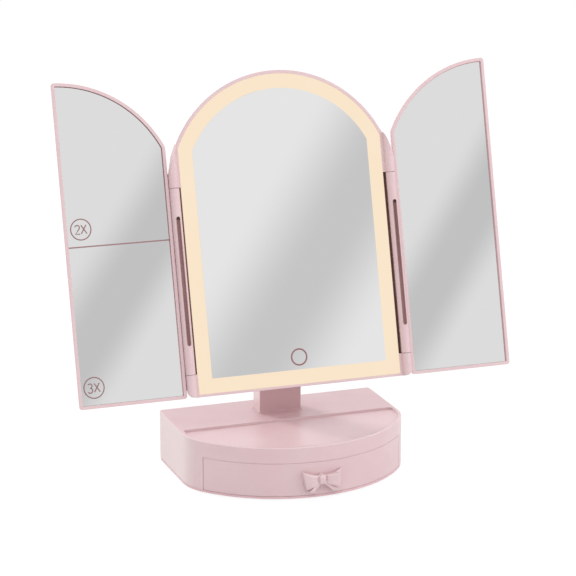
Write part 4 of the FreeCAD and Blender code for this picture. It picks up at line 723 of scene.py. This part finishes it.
class VANITY_OT_hardware(bpy.types.Operator):
    """Metal parts, and what is behind the glass and under the base"""

    bl_idname = "vanity.hardware"
    bl_label = "Hardware"

    # For each slot: its finish, light and dark colour levels, fineness of its streaks, and any other values.
    METALS = {
        "weight_steel": (
            "Rolled weight steel", (140, 137, 134), (84, 80, 77), (60, 500, 60), 0.35, 0.6, 90.0, 0.4),
        "hinge_steel": ("Ground steel", (196, 194, 192), (150, 148, 147), (900, 300, 300), 0.15, 0.32),
        "sleeve_brass": ("Sleeve brass", (205, 172, 104), (160, 126, 66), (400, 400, 900)),
        "socket_steel": ("Plated socket", (208, 208, 210), (166, 166, 170), (300, 300, 300)),
        "cell_foil": ("Cell foil", (190, 192, 196), (150, 152, 158), (120, 120, 120), 0.3, 0.5),
    }
    # For each slot: its finish, colour levels, roughness, and the grain's height in mm and fineness.
    SKINS = {
        "painted_bracket": ("Painted bracket", (206, 174, 178), 0.42, 0.03, 1100.0),
        "bush_nylon": ("Dyed nylon", (176, 124, 128), 0.5, 0.02, 1500.0),
        "white_plastic": ("White tray plastic", (236, 236, 234), 0.45, 0.02, 1500.0),
        "foam_tape": ("Foam tape", (206, 204, 200), 0.9, 0.15, 1300.0),
        "spring_rubber": ("Conductive rubber", (46, 45, 46), 0.7, 0.05, 1200.0),
        "lead_cover": ("Red lead cover", (176, 48, 42), 0.45, 0.02, 1500.0),
        "led_chip": ("Phosphor chip", (240, 214, 104), 0.35, 0.02, 1800.0),
    }
    # For each slot: its finish, the levels of its ground and its tracks, and how many tracks fit in a metre.
    CIRCUITS = {
        "flex_circuit": ("Flexible circuit", (236, 232, 222), (206, 150, 92), 160.0),
        "board_laminate": ("Green board laminate", (34, 92, 58), (70, 132, 84), 320.0),
    }

    def execute(self, context):
        dress("zinc_screw", zinc_plate())
        for slot, values in self.METALS.items():
            dress(slot, metal(*values))
        for slot, (name, levels, roughness, grain, scale) in self.SKINS.items():
            skin = moulded(name, linear(*levels), roughness=roughness, grain=grain * MM, grain_scale=scale)
            dress(slot, skin)
        for slot, values in self.CIRCUITS.items():
            dress(slot, self.circuit(*values))
        return {"FINISHED"}

    def circuit(self, name, levels, track_levels, pitch):
        """Board finish with straight tracks under its lacquer."""
        material, tree, shader = new_material(name)
        place = object_place(tree)
        ground = opaque(linear(*levels))
        tracks = add(tree, "ShaderNodeTexBrick", {
            "Vector": place, "Color1": ground, "Color2": ground, "Mortar": opaque(linear(*track_levels)),
            "Scale": pitch, "Mortar Size": 0.06}).outputs
        set_inputs(tree, shader, {
            "Base Color": tracks["Color"],
            "Roughness": varied(tree, noise(tree, place, 900.0), 0.25, 0.4),
            "Normal": bumped(tree, tracks["Fac"], 0.4, 0.03 * MM),
        })
        return material


class VANITY_OT_marks(bpy.types.Operator):
    """Touch ring on the centre glass, and the ringed magnifier marks on the left wing"""

    bl_idname = "vanity.marks"
    bl_label = "Marks"

    # Places in mm, from the middle of the panel and above the band's lower edge.
    TOUCH_HEIGHT = 21.7
    PLACES = {"2": (-169.7, 137.8), "3": (-170.4, 14.1)}

    # Centre lines in a digit's height, from its lower left corner. The X stands to the right of a digit.
    DIGITS = {
        "2": arc((0.27, 0.735), 0.265, 165, -38, 14) + [(0.02, 0.0), (0.56, 0.0)],
        "3": arc((0.22, 0.74), 0.25, 150, -90, 12) + arc((0.22, 0.21), 0.28, 90, -150, 14),
    }
    CROSS = [[(0.72, 1.0), (1.36, 0.0)], [(1.32, 1.0), (0.70, 0.0)]]
    MIDDLE = (0.68, 0.5)

    def execute(self, context):
        colours, sizes, _ = settings()
        ink = moulded("Mark ink", colours.ink, roughness=0.55, grain=0.01 * MM, edge_share=0.0)
        touch = [(circle((0, 0), sizes.touch_radius, 64), True)]
        mesh = drawn_lines(touch, sizes.touch_line, sizes.relief, on_panel(0, 0, self.TOUCH_HEIGHT))
        finish_piece("touch_ring", mesh, ink, "centre_panel")
        ring = (circle((0, 0), sizes.mark_radius, 64), True)
        recess = (WING_GLASS_FRONT - GLASS_FRONT) / MM
        for digit, (across, height) in self.PLACES.items():
            lines = [ring] + self.numeral(digit, sizes.numeral_height)
            mesh = drawn_lines(lines, sizes.mark_line, sizes.relief, on_panel(across, -recess, height))
            finish_piece(f"mark_{digit}x", mesh, ink, "left_wing")
        return {"FINISHED"}

    def numeral(self, digit, height):
        """Centre lines of a digit and an X, side by side about the origin."""
        middle, half = self.MIDDLE
        lines = [self.DIGITS[digit]] + self.CROSS
        return [([((x - middle) * height, (y - half) * height) for x, y in line], False) for line in lines]


class VANITY_OT_bow(bpy.types.Operator):
    """Moulded ribbon bow on the drawer front: two loops, a pinched knot and two tails"""

    bl_idname = "vanity.bow"
    bl_label = "Bow"

    # All in mm from the middle of the knot. A loop's top and bottom are half heights at its end, its reach
    # runs out from the knot, slant carries its top further out, behind swings its end back, full is its
    # thickness and flare keeps it narrow near the knot. A tail is given by the middle of its end.
    LOOPS = (
        {"side": -1, "top": 7.2, "bottom": 8.2, "reach": 13.3, "slant": 1.6, "behind": -0.9, "full": 1.0,
         "flare": 1.6},
        {"side": 1, "top": 4.4, "bottom": 7.3, "reach": 13.6, "slant": -0.3, "behind": -3.2, "full": 0.55,
         "flare": 1.0},
        {"side": 1, "top": 6.7, "bottom": 6.6, "reach": 16.8, "slant": 0.3, "behind": 3.2, "full": 0.4,
         "flare": 3.0},
    )
    TAILS = {-1: (-8.8, 2.9, -10.2), 1: (12.4, 3.8, -11.0)}
    TAIL_START = (1.2, 3.0, -1.5)
    KNOT_ABOVE_FLOOR = 16.9
    FRONT_RADIUS = 107
    KNOT_HALF = 4.1
    THROAT = 3.0
    BACK = 6.95
    VOXEL = 0.2

    def execute(self, context):
        colours, sizes, _ = settings()
        low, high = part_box("bow_knob")
        self.middle = Vector(((low.x + high.x) / 2, low.y, self.KNOT_ABOVE_FLOOR * MM)) / MM
        item = new_object("bow", mesh_from(self.shells))
        melt = item.modifiers.new("Melt", "REMESH")
        melt.mode = "VOXEL"
        melt.voxel_size = self.VOXEL * MM
        soften = item.modifiers.new("Soften", "SMOOTH")
        soften.factor = 0.5
        soften.iterations = 2
        # The bow's edges and top edges get painted highlights.
        pink = moulded(
            "Pink bow plastic", colours.bow, colours.base_edge, colours.casing, roughness=0.34,
            grain=sizes.grain, coat=0.5, edge_share=0.6, upper_highlight_share=0.35, edge_radius=sizes.edge)
        finish_piece("ribbon_bow", evaluated_mesh(item), pink, "drawer", ("bow_knob",))
        return {"FINISHED"}

    def shells(self, shape):
        for loop in self.LOOPS:
            self.skin(shape, [self.loop_ring(loop, step / 12) for step in range(13)])
        self.skin(shape, [self.knot_ring(step / 10) for step in range(11)])
        for side in (-1, 1):
            self.skin(shape, [self.tail_ring(side, step / 8) for step in range(9)])

    def skin(self, shape, rings):
        loft(shape, [[(self.middle + point) * MM for point in ring] for ring in rings])

    def section(self, power, count=48):
        """Rounded box outline: points (height, depth), each from -1 to 1."""
        turns = [2 * math.pi * index / count for index in range(count)]
        return [
            [math.copysign(abs(part) ** (2 / power), part) for part in (math.cos(turn), math.sin(turn))]
            for turn in turns]

    def crease(self, place, middle, width):
        """Smooth hollow about a place: 1 in its middle, fading to 0."""
        return math.exp(-((place - middle) / width) ** 2)

    def loop_ring(self, loop, share):
        """Section across a loop, from the knot to its end. Folds run out from the knot and fade."""
        top = self.THROAT + (loop["top"] - self.THROAT) * share ** loop["flare"]
        bottom = self.THROAT + (loop["bottom"] - self.THROAT) * share ** 0.9
        end = max(0.0, (share - 0.9) / 0.1)
        swell = loop["full"] * (0.9 + 1.25 * math.sin(math.pi * min(1.0, share * 0.85 + 0.1)))
        swell *= 1.0 - 0.55 * end
        middle = 3.1 + loop["behind"] * share + 0.9 * share ** 2
        ring = []
        for height, depth in self.section(3.6):
            rise = height * (top if height > 0 else bottom) * (1.0 - 0.05 * end)
            reach = 1.2 + (loop["reach"] + loop["slant"] * height) * share
            folds = self.crease(height, 0.28, 0.16) + self.crease(height, -0.34, 0.16)
            hollow = 0.55 * folds * (1 - share) ** 1.2 + 0.5 * (1 - height * height) * share ** 2
            groove = 1.1 * self.crease(reach, 3.3, 0.7)
            front = middle - swell * depth + hollow + groove
            front = front if depth > 0 else self.behind(middle, reach, depth)
            ring.append(Vector((loop["side"] * reach, front, rise)))
        return ring

    def knot_ring(self, share):
        """Level section of the knot, from its foot to its top, pinched in the middle."""
        edge = abs(2 * share - 1)
        full = math.sqrt(max(0.03, 1 - edge ** 4))
        ring = []
        for across, depth in self.section(3.0):
            creases = 0.3 * self.crease(across, -0.3, 0.14) + 0.22 * self.crease(across, 0.4, 0.14)
            front = 2.6 - 2.6 * depth * full + creases if depth > 0 else self.behind(2.6, 0.0, depth)
            beside = across * (2.7 + 0.25 * edge) * full
            ring.append(Vector((beside, front, self.KNOT_HALF * (2 * share - 1))))
        return ring

    def tail_ring(self, side, share):
        """Section of a tail on its run from the knot down and outwards. Its end is cut level."""
        start, end = Vector(self.TAIL_START), Vector(self.TAILS[side])
        start.x *= side
        run = (end - start).normalized()
        cross = Vector((run.z, 0, -run.x)) * side
        half = 1.35 + 0.25 * share
        level = abs(run.x / run.z) * half * share
        middle = start.lerp(end, share)
        ring = []
        for across, depth in self.section(4.0):
            point = middle + cross * (across * half) - run * (across * level)
            front = middle.y - depth * 0.75 - 0.35 * across * across
            point.y = front if depth > 0 else self.behind(middle.y, point.x, depth)
            ring.append(point)
        return ring

    def behind(self, front, across, depth):
        """Depth of a point on the hidden side, which runs back to the drawer's curved front."""
        return front - depth * (self.BACK + across * across / (2 * self.FRONT_RADIUS) - front)


class VANITY_OT_drawer_lip(bpy.types.Operator):
    """Thin felt lip behind the edges of the drawer front, which closes its running gap"""

    bl_idname = "vanity.drawer_lip"
    bl_label = "Drawer lip"

    # The base's curved front in mm: its radius, and the half width of the base that goes with it.
    FRONT_RADIUS = 107
    BASE_HALF = 93.5
    INSET = 0.12 * MM
    DEPTH = 2.4 * MM
    STEPS = 24

    def execute(self, context):
        colours, sizes, _ = settings()
        low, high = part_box("drawer_tray")
        half, thick = high.x, sizes.lip
        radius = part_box("base_shell")[1].x * self.FRONT_RADIUS / self.BASE_HALF

        def face(across):
            """Where the drawer's curved front lies."""
            return low.y + radius - math.sqrt(radius * radius - across * across)

        corners = [vertex.co for vertex in NODES["drawer_tray"].data.vertices]
        top = max(corner.z for corner in corners if corner.y < face(corner.x) + 0.1 * MM)

        def build(shape):
            across = [half * (step / self.STEPS - 1) for step in range(2 * self.STEPS + 1)]
            front = [Vector((x, face(x) + self.INSET, top)) for x in across]
            back = [Vector((x, face(x) + self.DEPTH, top)) for x in reversed(across)]
            prism(shape, front + back, Vector((0, 0, thick)))
            for side in (-1, 1):
                inner, outer = side * half, side * (half + thick)
                ends = [(inner, self.INSET), (outer, self.INSET), (outer, self.DEPTH), (inner, self.DEPTH)]
                outline = [Vector((x, face(half) + y, low.z)) for x, y in ends]
                prism(shape, outline, Vector((0, 0, top - low.z + thick)))

        felt = moulded(
            "Drawer lip felt", colours.drawer_lip, roughness=0.9, grain=0.06 * MM, grain_scale=2200.0,
            edge_share=0.0)
        finish_piece("drawer_lip", mesh_from(build), felt, "drawer", smooth=False)
        return {"FINISHED"}


class VANITY_OT_hinge_trim(bpy.types.Operator):
    """Seals in the slits beside the band, liners and stops of the slots, screens and washers of the hinges;
    seals, liners, stops and screens are dark as painted shade
    """

    bl_idname = "vanity.hinge_trim"
    bl_label = "Hinge trim"

    # Heights above the band's lower edge, and depths, all in mm.
    SEAMS = (16.4, 164.3)
    SLOT_ENDS = (40.9, 140.2)
    SCREENS = ((4.0, 16.45), (164.2, 176.0))
    SEAL_BACK = -2.95
    SCREEN_WIDTH = 3.4
    SCREEN_DEPTHS = (4.1, 4.9)
    STOP_HALF = 1.28
    STOP_BORE = 0.62
    STOP_LEG = 1.1
    STOP_DEPTH = 1.88
    STOP_THICKNESS = 1.73
    WASHER_BORE = 2.7
    WASHER_HALF = 0.08

    # Half width of the liner's rings, and their depths in the slot.
    LINER = ((1.55, 2.15), (1.55, 0.05), (1.3, 0.05), (1.3, 1.9))

    def execute(self, context):
        colours, sizes, _ = settings()
        seal_shades = {-1: colours.left_seal, 1: colours.right_seal}
        # Liner, stop and screen colours are painted shade; the washer's is its own.
        liner, stop, screen, washer = [
            moulded(name, rgb, roughness=roughness, edge_share=0.0) for name, rgb, roughness in (
                ("Slot liner", colours.slot_liner, 0.6), ("Shaded slot stop rubber", colours.shaded_slot_stop, 0.6),
                ("Hinge screen foam with painted shade", colours.screen, 0.85), ("Hinge washer nylon", colours.washer, 0.5))]
        for side, name in ((-1, "left"), (1, "right")):
            # Each side's seal colour is painted shade.
            rubber = moulded(f"{name.capitalize()} seal rubber with painted shade", seal_shades[side], roughness=0.65, edge_share=0.0)
            wing = f"{name}_wing"
            trims = (
                ("hinge_shade_seal", self.seal, rubber, "centre_panel"),
                ("slot_liner", self.liner, liner, wing),
                ("shaded_slot_stop", self.stop, stop, wing),
                ("hinge_shade_screen", self.screen, screen, "centre_panel"),
            )
            for piece, build, material, body in trims:
                mesh = mesh_from(build, side, sizes)
                finish_piece(f"{name}_{piece}", mesh, material, body)
            rings = mesh_from(self.washers, side, sizes)
            finish_piece(f"{name}_hinge_washers", rings, washer, wing, smooth=False)
        return {"FINISHED"}

    def upright(self, shape, side, outline, low, high):
        """Bar along the hinge. Its outline has points (across, in front of the glass)."""
        points = [PANEL @ on_panel(side * x, proud, low) for x, proud in outline]
        prism(shape, points, TILT @ Vector((0, 0, (high - low) * MM)))

    def seal(self, shape, side, sizes):
        """Bar between the band's side and the barrel, from seam to seam, with a domed front, dark as painted
        shade in the slit.
        """
        inner, outer = BAND_SIDE / MM + 0.1, BARREL_SIDE / MM - 0.12
        half = (outer - inner) / 2
        foot = -sizes.seal_depth / MM - half * 0.5
        dome = [(x, foot + (y - foot) * 0.5) for x, y in arc((inner + half, foot), half, 180, 0, 10)]
        outline = [(inner, self.SEAL_BACK)] + dome + [(outer, self.SEAL_BACK)]
        self.upright(shape, side, outline, self.SEAMS[0] - 0.05, self.SEAMS[1] + 0.05)

    def screen(self, shape, side, sizes):
        """Strips behind the upper and lower knuckles, which close the slit beside the wing, dark as painted
        shade there.
        """
        axis = (GLASS_FRONT - HINGE_DEPTH) / MM
        inner = HINGE_LINE / MM
        outer = inner + self.SCREEN_WIDTH
        front, back = [axis - depth for depth in self.SCREEN_DEPTHS]
        corners = [(inner, front), (outer, front), (outer, back), (inner, back)]
        for low, high in self.SCREENS:
            self.upright(shape, side, corners, low, high)

    def liner(self, shape, side, sizes):
        """Channel with round ends: a floor, and walls up to the slot's mouth, darker as painted shade in the
        slot.
        """
        mouth = (GLASS_FRONT - BARREL_FRONT) / MM
        middle = HINGE_LINE / MM
        low, high = self.SLOT_ENDS
        rings = []
        for half, depth in self.LINER:
            ends = arc((middle, low), half, 180, 360, 12) + arc((middle, high), half, 0, 180, 12)
            rings.append([PANEL @ on_panel(side * x, mouth - depth, height) for x, height in ends])
        loft(shape, rings)

    def stop(self, shape, side, sizes):
        """Arched bumper at the top end of the slot, with a short leg down each side, near black as painted
        shadow of the slot's top.
        """
        middle, top = HINGE_LINE / MM, self.SLOT_ENDS[1]
        half, bore, foot = self.STOP_HALF, self.STOP_BORE, top - self.STOP_LEG
        outer = [(middle + half, foot)] + arc((middle, top), half, 0, 180, 14) + [(middle - half, foot)]
        inner = [(middle - bore, foot)] + arc((middle, top - 0.2), bore, 180, 0, 10) + [(middle + bore, foot)]
        floor = (GLASS_FRONT - BARREL_FRONT) / MM - self.STOP_DEPTH
        points = [PANEL @ on_panel(side * x, floor, height) for x, height in outer + inner]
        prism(shape, points, TILT @ Vector((0, -self.STOP_THICKNESS * MM, 0)))

    def washers(self, shape, side, sizes):
        """Flat washers in the two seams between the long barrel and the knuckles."""
        outer, inner, half = sizes.washer, self.WASHER_BORE * MM, self.WASHER_HALF * MM
        for seam in self.SEAMS:
            rings = []
            for radius, rise in ((outer, -half), (outer, half), (inner, half), (inner, -half)):
                height = BAND_LOW + seam * MM + rise
                points = circle((side * HINGE_LINE, HINGE_DEPTH), radius, 32)
                rings.append([PANEL @ Vector((x, y, height)) for x, y in points])
            loft(shape, rings, hoop=True)


class VANITY_OT_gaskets(bpy.types.Operator):
    """Thin gaskets on the edges of the wing glasses, and the strip between the two left glasses, coloured as
    painted shade
    """

    bl_idname = "vanity.gaskets"
    bl_label = "Gaskets"

    # How far the gaskets lie inside the glass's edge, and how much wider the strip between the glasses is.
    INSET = 0.05 * MM
    SPLIT_SHARE = 1.35

    def execute(self, context):
        colours, sizes, _ = settings()
        # Both gasket materials are painted shade; the right wing's is paler.
        dark = self.rubber("Wing gasket rubber", colours.gasket, colours.gasket_low)
        pale = self.rubber("Right gasket rubber", colours.gasket_low, colours.gasket_low)
        low, high = panel_box("left_mirror_upper")
        inner = panel_box("right_mirror")[0].x
        split = (low.z + panel_box("left_mirror_lower")[1].z) / 2
        upper_run = self.edge_run("left_mirror_upper", low.x + 0.15 * MM)
        lower_run = self.edge_run("left_mirror_lower", high.x - 1.0 * MM)
        right_run = self.edge_run("right_mirror", inner + 1.0 * MM)
        for name, run, width, rubber in (
                ("left_upper", upper_run, sizes.gasket, dark), ("left_lower", lower_run, sizes.gasket, dark),
                ("right", right_run, sizes.gasket, pale),
                ("left_split", [(low.x, split), (high.x, split)], sizes.gasket * self.SPLIT_SHARE, dark)):
            mesh = drawn_lines([(run, False)], width, sizes.relief, Vector((0, WING_GLASS_FRONT, 0)))
            finish_piece(f"{name}_gasket", mesh, rubber, f"{name.split('_')[0]}_wing")
        return {"FINISHED"}

    def rubber(self, name, high, low):
        """Painted shade that pales towards the bottom of the glass."""
        material, tree, shader = new_material(name)
        place = object_place(tree)
        up = TILT @ Vector((0, 0, 1))
        foot = up.dot(PANEL.translation) + BAND_LOW
        share = scaled(tree, dot(tree, place, up), (foot, foot + 0.2), (0.0, 1.0))
        grain = noise(tree, place, 1500.0)
        set_inputs(tree, shader, {
            "Base Color": blend_colours(tree, share, opaque(low), opaque(high)),
            "Roughness": varied(tree, grain, 0.55, 0.7), "Normal": bumped(tree, grain, 0.25, 0.02 * MM),
        })
        return material

    def edge_run(self, node, limit):
        """Stretch of a glass's outline that lies further across than the limit, moved a little inwards."""
        ring = self.glass_edge(node)
        turning = sum(a.x * b.y - b.x * a.y for a, b in zip(ring, ring[1:] + ring[:1]))
        inset = math.copysign(self.INSET, turning)
        moved = []
        for index, point in enumerate(ring):
            run = (ring[(index + 1) % len(ring)] - ring[index - 1]).normalized()
            moved.append(point + Vector((-run.y, run.x)) * inset)
        start = next(i for i in range(len(moved)) if moved[i].x > limit >= moved[i - 1].x)
        return [point for point in moved[start:] + moved[:start] if point.x > limit]

    def glass_edge(self, node):
        """Points round a glass's front face, as (across, up) in panel coordinates."""
        shape = merged_copy(node)
        bmesh.ops.transform(shape, matrix=PANEL.inverted(), verts=shape.verts)
        front = {face for face in shape.faces if face.normal.y < -0.99}
        follow = {}
        for face in front:
            for corner in face.loops:
                if len([other for other in corner.edge.link_faces if other in front]) == 1:
                    follow[corner.vert] = corner.link_loop_next.vert
        start = next(iter(follow))
        ring, vertex = [], start
        while True:
            ring.append(Vector((vertex.co.x, vertex.co.z)))
            vertex = follow[vertex]
            if vertex is start:
                break
        shape.free()
        return ring


class VANITY_OT_screws(bpy.types.Operator):
    """Pan-head screws with a cross recess, at the places of the part's own screws"""

    bl_idname = "vanity.screws"
    bl_label = "Screws"

    LENGTHS = (
        "Head Radius", "Head Height", "Shank Radius", "Shank Length", "Recess Width", "Recess Span")

    # Arms of the cross recess, as shares of the head's radius.
    RECESS_WIDTH = 0.24
    RECESS_SPAN = 1.1

    def execute(self, context):
        _, sizes, _ = settings()
        tree = self.screw_tree()
        behind = TILT @ Vector((0, 1, 0))
        below = Vector((0, 0, -1))
        values = {
            "Head Radius": sizes.screw_head, "Head Height": sizes.screw_rise,
            "Shank Radius": sizes.screw_shank, "Shank Length": sizes.screw_length,
            "Recess Width": sizes.screw_head * self.RECESS_WIDTH,
            "Recess Span": sizes.screw_head * self.RECESS_SPAN,
            "Finish": zinc_plate(),
        }
        for node, body, aim in (
                ("base_screws", "base", below), ("weight_screws", "base", below),
                ("centre_screws", "centre_panel", behind), ("bracket_screws", "centre_panel", behind)):
            mesh = self.place_screws(tree, node, aim, values)
            finish_piece(f"{node}_cross", mesh, zinc_plate(), body, (node,), smooth=False)
        return {"FINISHED"}

    def place_screws(self, tree, node, aim, values):
        """Mesh of one screw on the head of each of a CAD node's screws."""
        centres = []
        for points in self.loose_parts(node):
            low, high = extent([point - aim * point.dot(aim) for point in points])
            middle = (low + high) / 2
            top = max(point.dot(aim) for point in points)
            centres.append(middle - aim * middle.dot(aim) + aim * top)
        seats = bpy.data.meshes.new("seats")
        seats.from_pydata(centres, [], [])
        for entry in seats.attributes.new("aim", "FLOAT_VECTOR", "POINT").data:
            entry.vector = aim
        item = new_object("seats", seats)
        modifier = item.modifiers.new("Screws", "NODES")
        modifier.node_group = tree
        for socket in tree.interface.items_tree:
            if socket.item_type == "SOCKET" and socket.in_out == "INPUT" and socket.name in values:
                modifier[socket.identifier] = values[socket.name]
        return evaluated_mesh(item)

    def loose_parts(self, node):
        """Points of each separate solid of a CAD node."""
        shape = merged_copy(node)
        seen, parts = set(), []
        for seed in shape.verts:
            if seed in seen:
                continue
            seen.add(seed)
            waiting, points = [seed], []
            while waiting:
                vertex = waiting.pop()
                points.append(vertex.co.copy())
                for link in vertex.link_edges:
                    other = link.other_vert(vertex)
                    if other not in seen:
                        seen.add(other)
                        waiting.append(other)
            parts.append(points)
        shape.free()
        return parts

    def screw_tree(self):
        """Geometry nodes: one screw, on every point, turned to face the point's aim."""
        tree = bpy.data.node_groups.new("Cross-recess screws", "GeometryNodeTree")
        face = tree.interface.new_socket
        face("Seats", in_out="INPUT", socket_type="NodeSocketGeometry")
        for label in self.LENGTHS:
            socket = face(label, in_out="INPUT", socket_type="NodeSocketFloat")
            socket.subtype = "DISTANCE"
            socket.default_value = MM
        face("Finish", in_out="INPUT", socket_type="NodeSocketMaterial")
        face("Screws", in_out="OUTPUT", socket_type="NodeSocketGeometry")
        given = tree.nodes.new("NodeGroupInput").outputs
        result = tree.nodes.new("NodeGroupOutput").inputs

        def share(label, factor):
            return calc(tree, "MULTIPLY", given[label], factor)

        def shifted(geometry, height):
            offset = add(tree, "ShaderNodeCombineXYZ", {"Z": height}).outputs[0]
            inputs = {"Geometry": geometry, "Translation": offset}
            return add(tree, "GeometryNodeTransform", inputs).outputs[0]

        def cylinder(sides, radius, depth):
            inputs = {"Vertices": sides, "Radius": radius, "Depth": depth}
            return add(tree, "GeometryNodeMeshCylinder", inputs).outputs[0]

        def boolean(operation, first, second):
            """Second shape cut out of the first, or both joined into one."""
            node = add(tree, "GeometryNodeMeshBoolean", operation=operation, solver="EXACT")
            tree.links.new(first, node.inputs[1 if operation == "UNION" else 0])
            tree.links.new(second, node.inputs[1])
            return node.outputs[0]

        half_head = share("Head Height", 0.5)
        rim = add(tree, "GeometryNodeMeshCone", {
            "Vertices": 32, "Radius Top": share("Head Radius", 0.8), "Radius Bottom": given["Head Radius"],
            "Depth": half_head}).outputs[0]
        disc = cylinder(32, given["Head Radius"], half_head)
        head = boolean(
            "UNION", shifted(rim, share("Head Height", -0.5)), shifted(disc, share("Head Height", -0.75)))
        bars = []
        for long_axis, short_axis in (("X", "Y"), ("Y", "X")):
            size = add(tree, "ShaderNodeCombineXYZ", {
                long_axis: given["Recess Span"], short_axis: given["Recess Width"],
                "Z": given["Head Height"]})
            bars.append(add(tree, "GeometryNodeMeshCube", {"Size": size.outputs[0]}).outputs[0])
        cut = boolean("DIFFERENCE", head, boolean("UNION", *bars))
        shank = cylinder(20, given["Shank Radius"], given["Shank Length"])
        below = calc(tree, "MULTIPLY_ADD", given["Shank Length"], -0.5, share("Head Height", -1.0))
        screw = add(tree, "GeometryNodeJoinGeometry", {0: cut})
        tree.links.new(shifted(shank, below), screw.inputs[0])
        aim = add(
            tree, "GeometryNodeInputNamedAttribute", {"Name": "aim"}, data_type="FLOAT_VECTOR").outputs[0]
        turned = add(tree, "FunctionNodeAlignRotationToVector", {"Vector": aim}, axis="Z").outputs[0]
        placed = add(tree, "GeometryNodeInstanceOnPoints", {
            "Points": given["Seats"], "Instance": screw.outputs[0], "Rotation": turned}).outputs[0]
        real = add(tree, "GeometryNodeRealizeInstances", {0: placed}).outputs[0]
        plated = add(tree, "GeometryNodeSetMaterial", {
            "Geometry": real, "Material": given["Finish"]}).outputs[0]
        tree.links.new(plated, result[0])
        return tree


class VANITY_PT_sidebar(bpy.types.Panel):
    """Pieces of the vanity mirror, with their colours and sizes"""

    bl_idname = "VANITY_PT_sidebar"
    bl_label = "Vanity mirror"
    bl_space_type = "VIEW_3D"
    bl_region_type = "UI"
    bl_category = "Vanity mirror"

    def draw(self, context):
        for group in settings():
            box = self.layout.box()
            for name in group.__annotations__:
                box.prop(group, name)
        for operator in OPERATORS:
            self.layout.operator(operator.bl_idname)


OPERATORS = (
    VANITY_OT_stage,
    VANITY_OT_casings,
    VANITY_OT_mirrors,
    VANITY_OT_light_band,
    VANITY_OT_hardware,
    VANITY_OT_marks,
    VANITY_OT_bow,
    VANITY_OT_drawer_lip,
    VANITY_OT_hinge_trim,
    VANITY_OT_gaskets,
    VANITY_OT_screws,
)
CLASSES = (VanityColours, VanitySizes, VanityStage, *OPERATORS, VANITY_PT_sidebar)


def register():
    for item in CLASSES:
        bpy.utils.register_class(item)
    bpy.types.Scene.vanity_colours = PointerProperty(type=VanityColours)
    bpy.types.Scene.vanity_sizes = PointerProperty(type=VanitySizes)
    bpy.types.Scene.vanity_stage = PointerProperty(type=VanityStage)


def unregister():
    del bpy.types.Scene.vanity_stage
    del bpy.types.Scene.vanity_sizes
    del bpy.types.Scene.vanity_colours
    for item in reversed(CLASSES):
        bpy.utils.unregister_class(item)


def main():
    register()
    bpy.ops.vanity.stage()
    bpy.ops.vanity.casings()
    bpy.ops.vanity.mirrors()
    bpy.ops.vanity.light_band()
    bpy.ops.vanity.hardware()
    bpy.ops.vanity.marks()
    bpy.ops.vanity.bow()
    bpy.ops.vanity.drawer_lip()
    bpy.ops.vanity.hinge_trim()
    bpy.ops.vanity.gaskets()
    bpy.ops.vanity.screws()


if __name__ == "__main__":
    main()
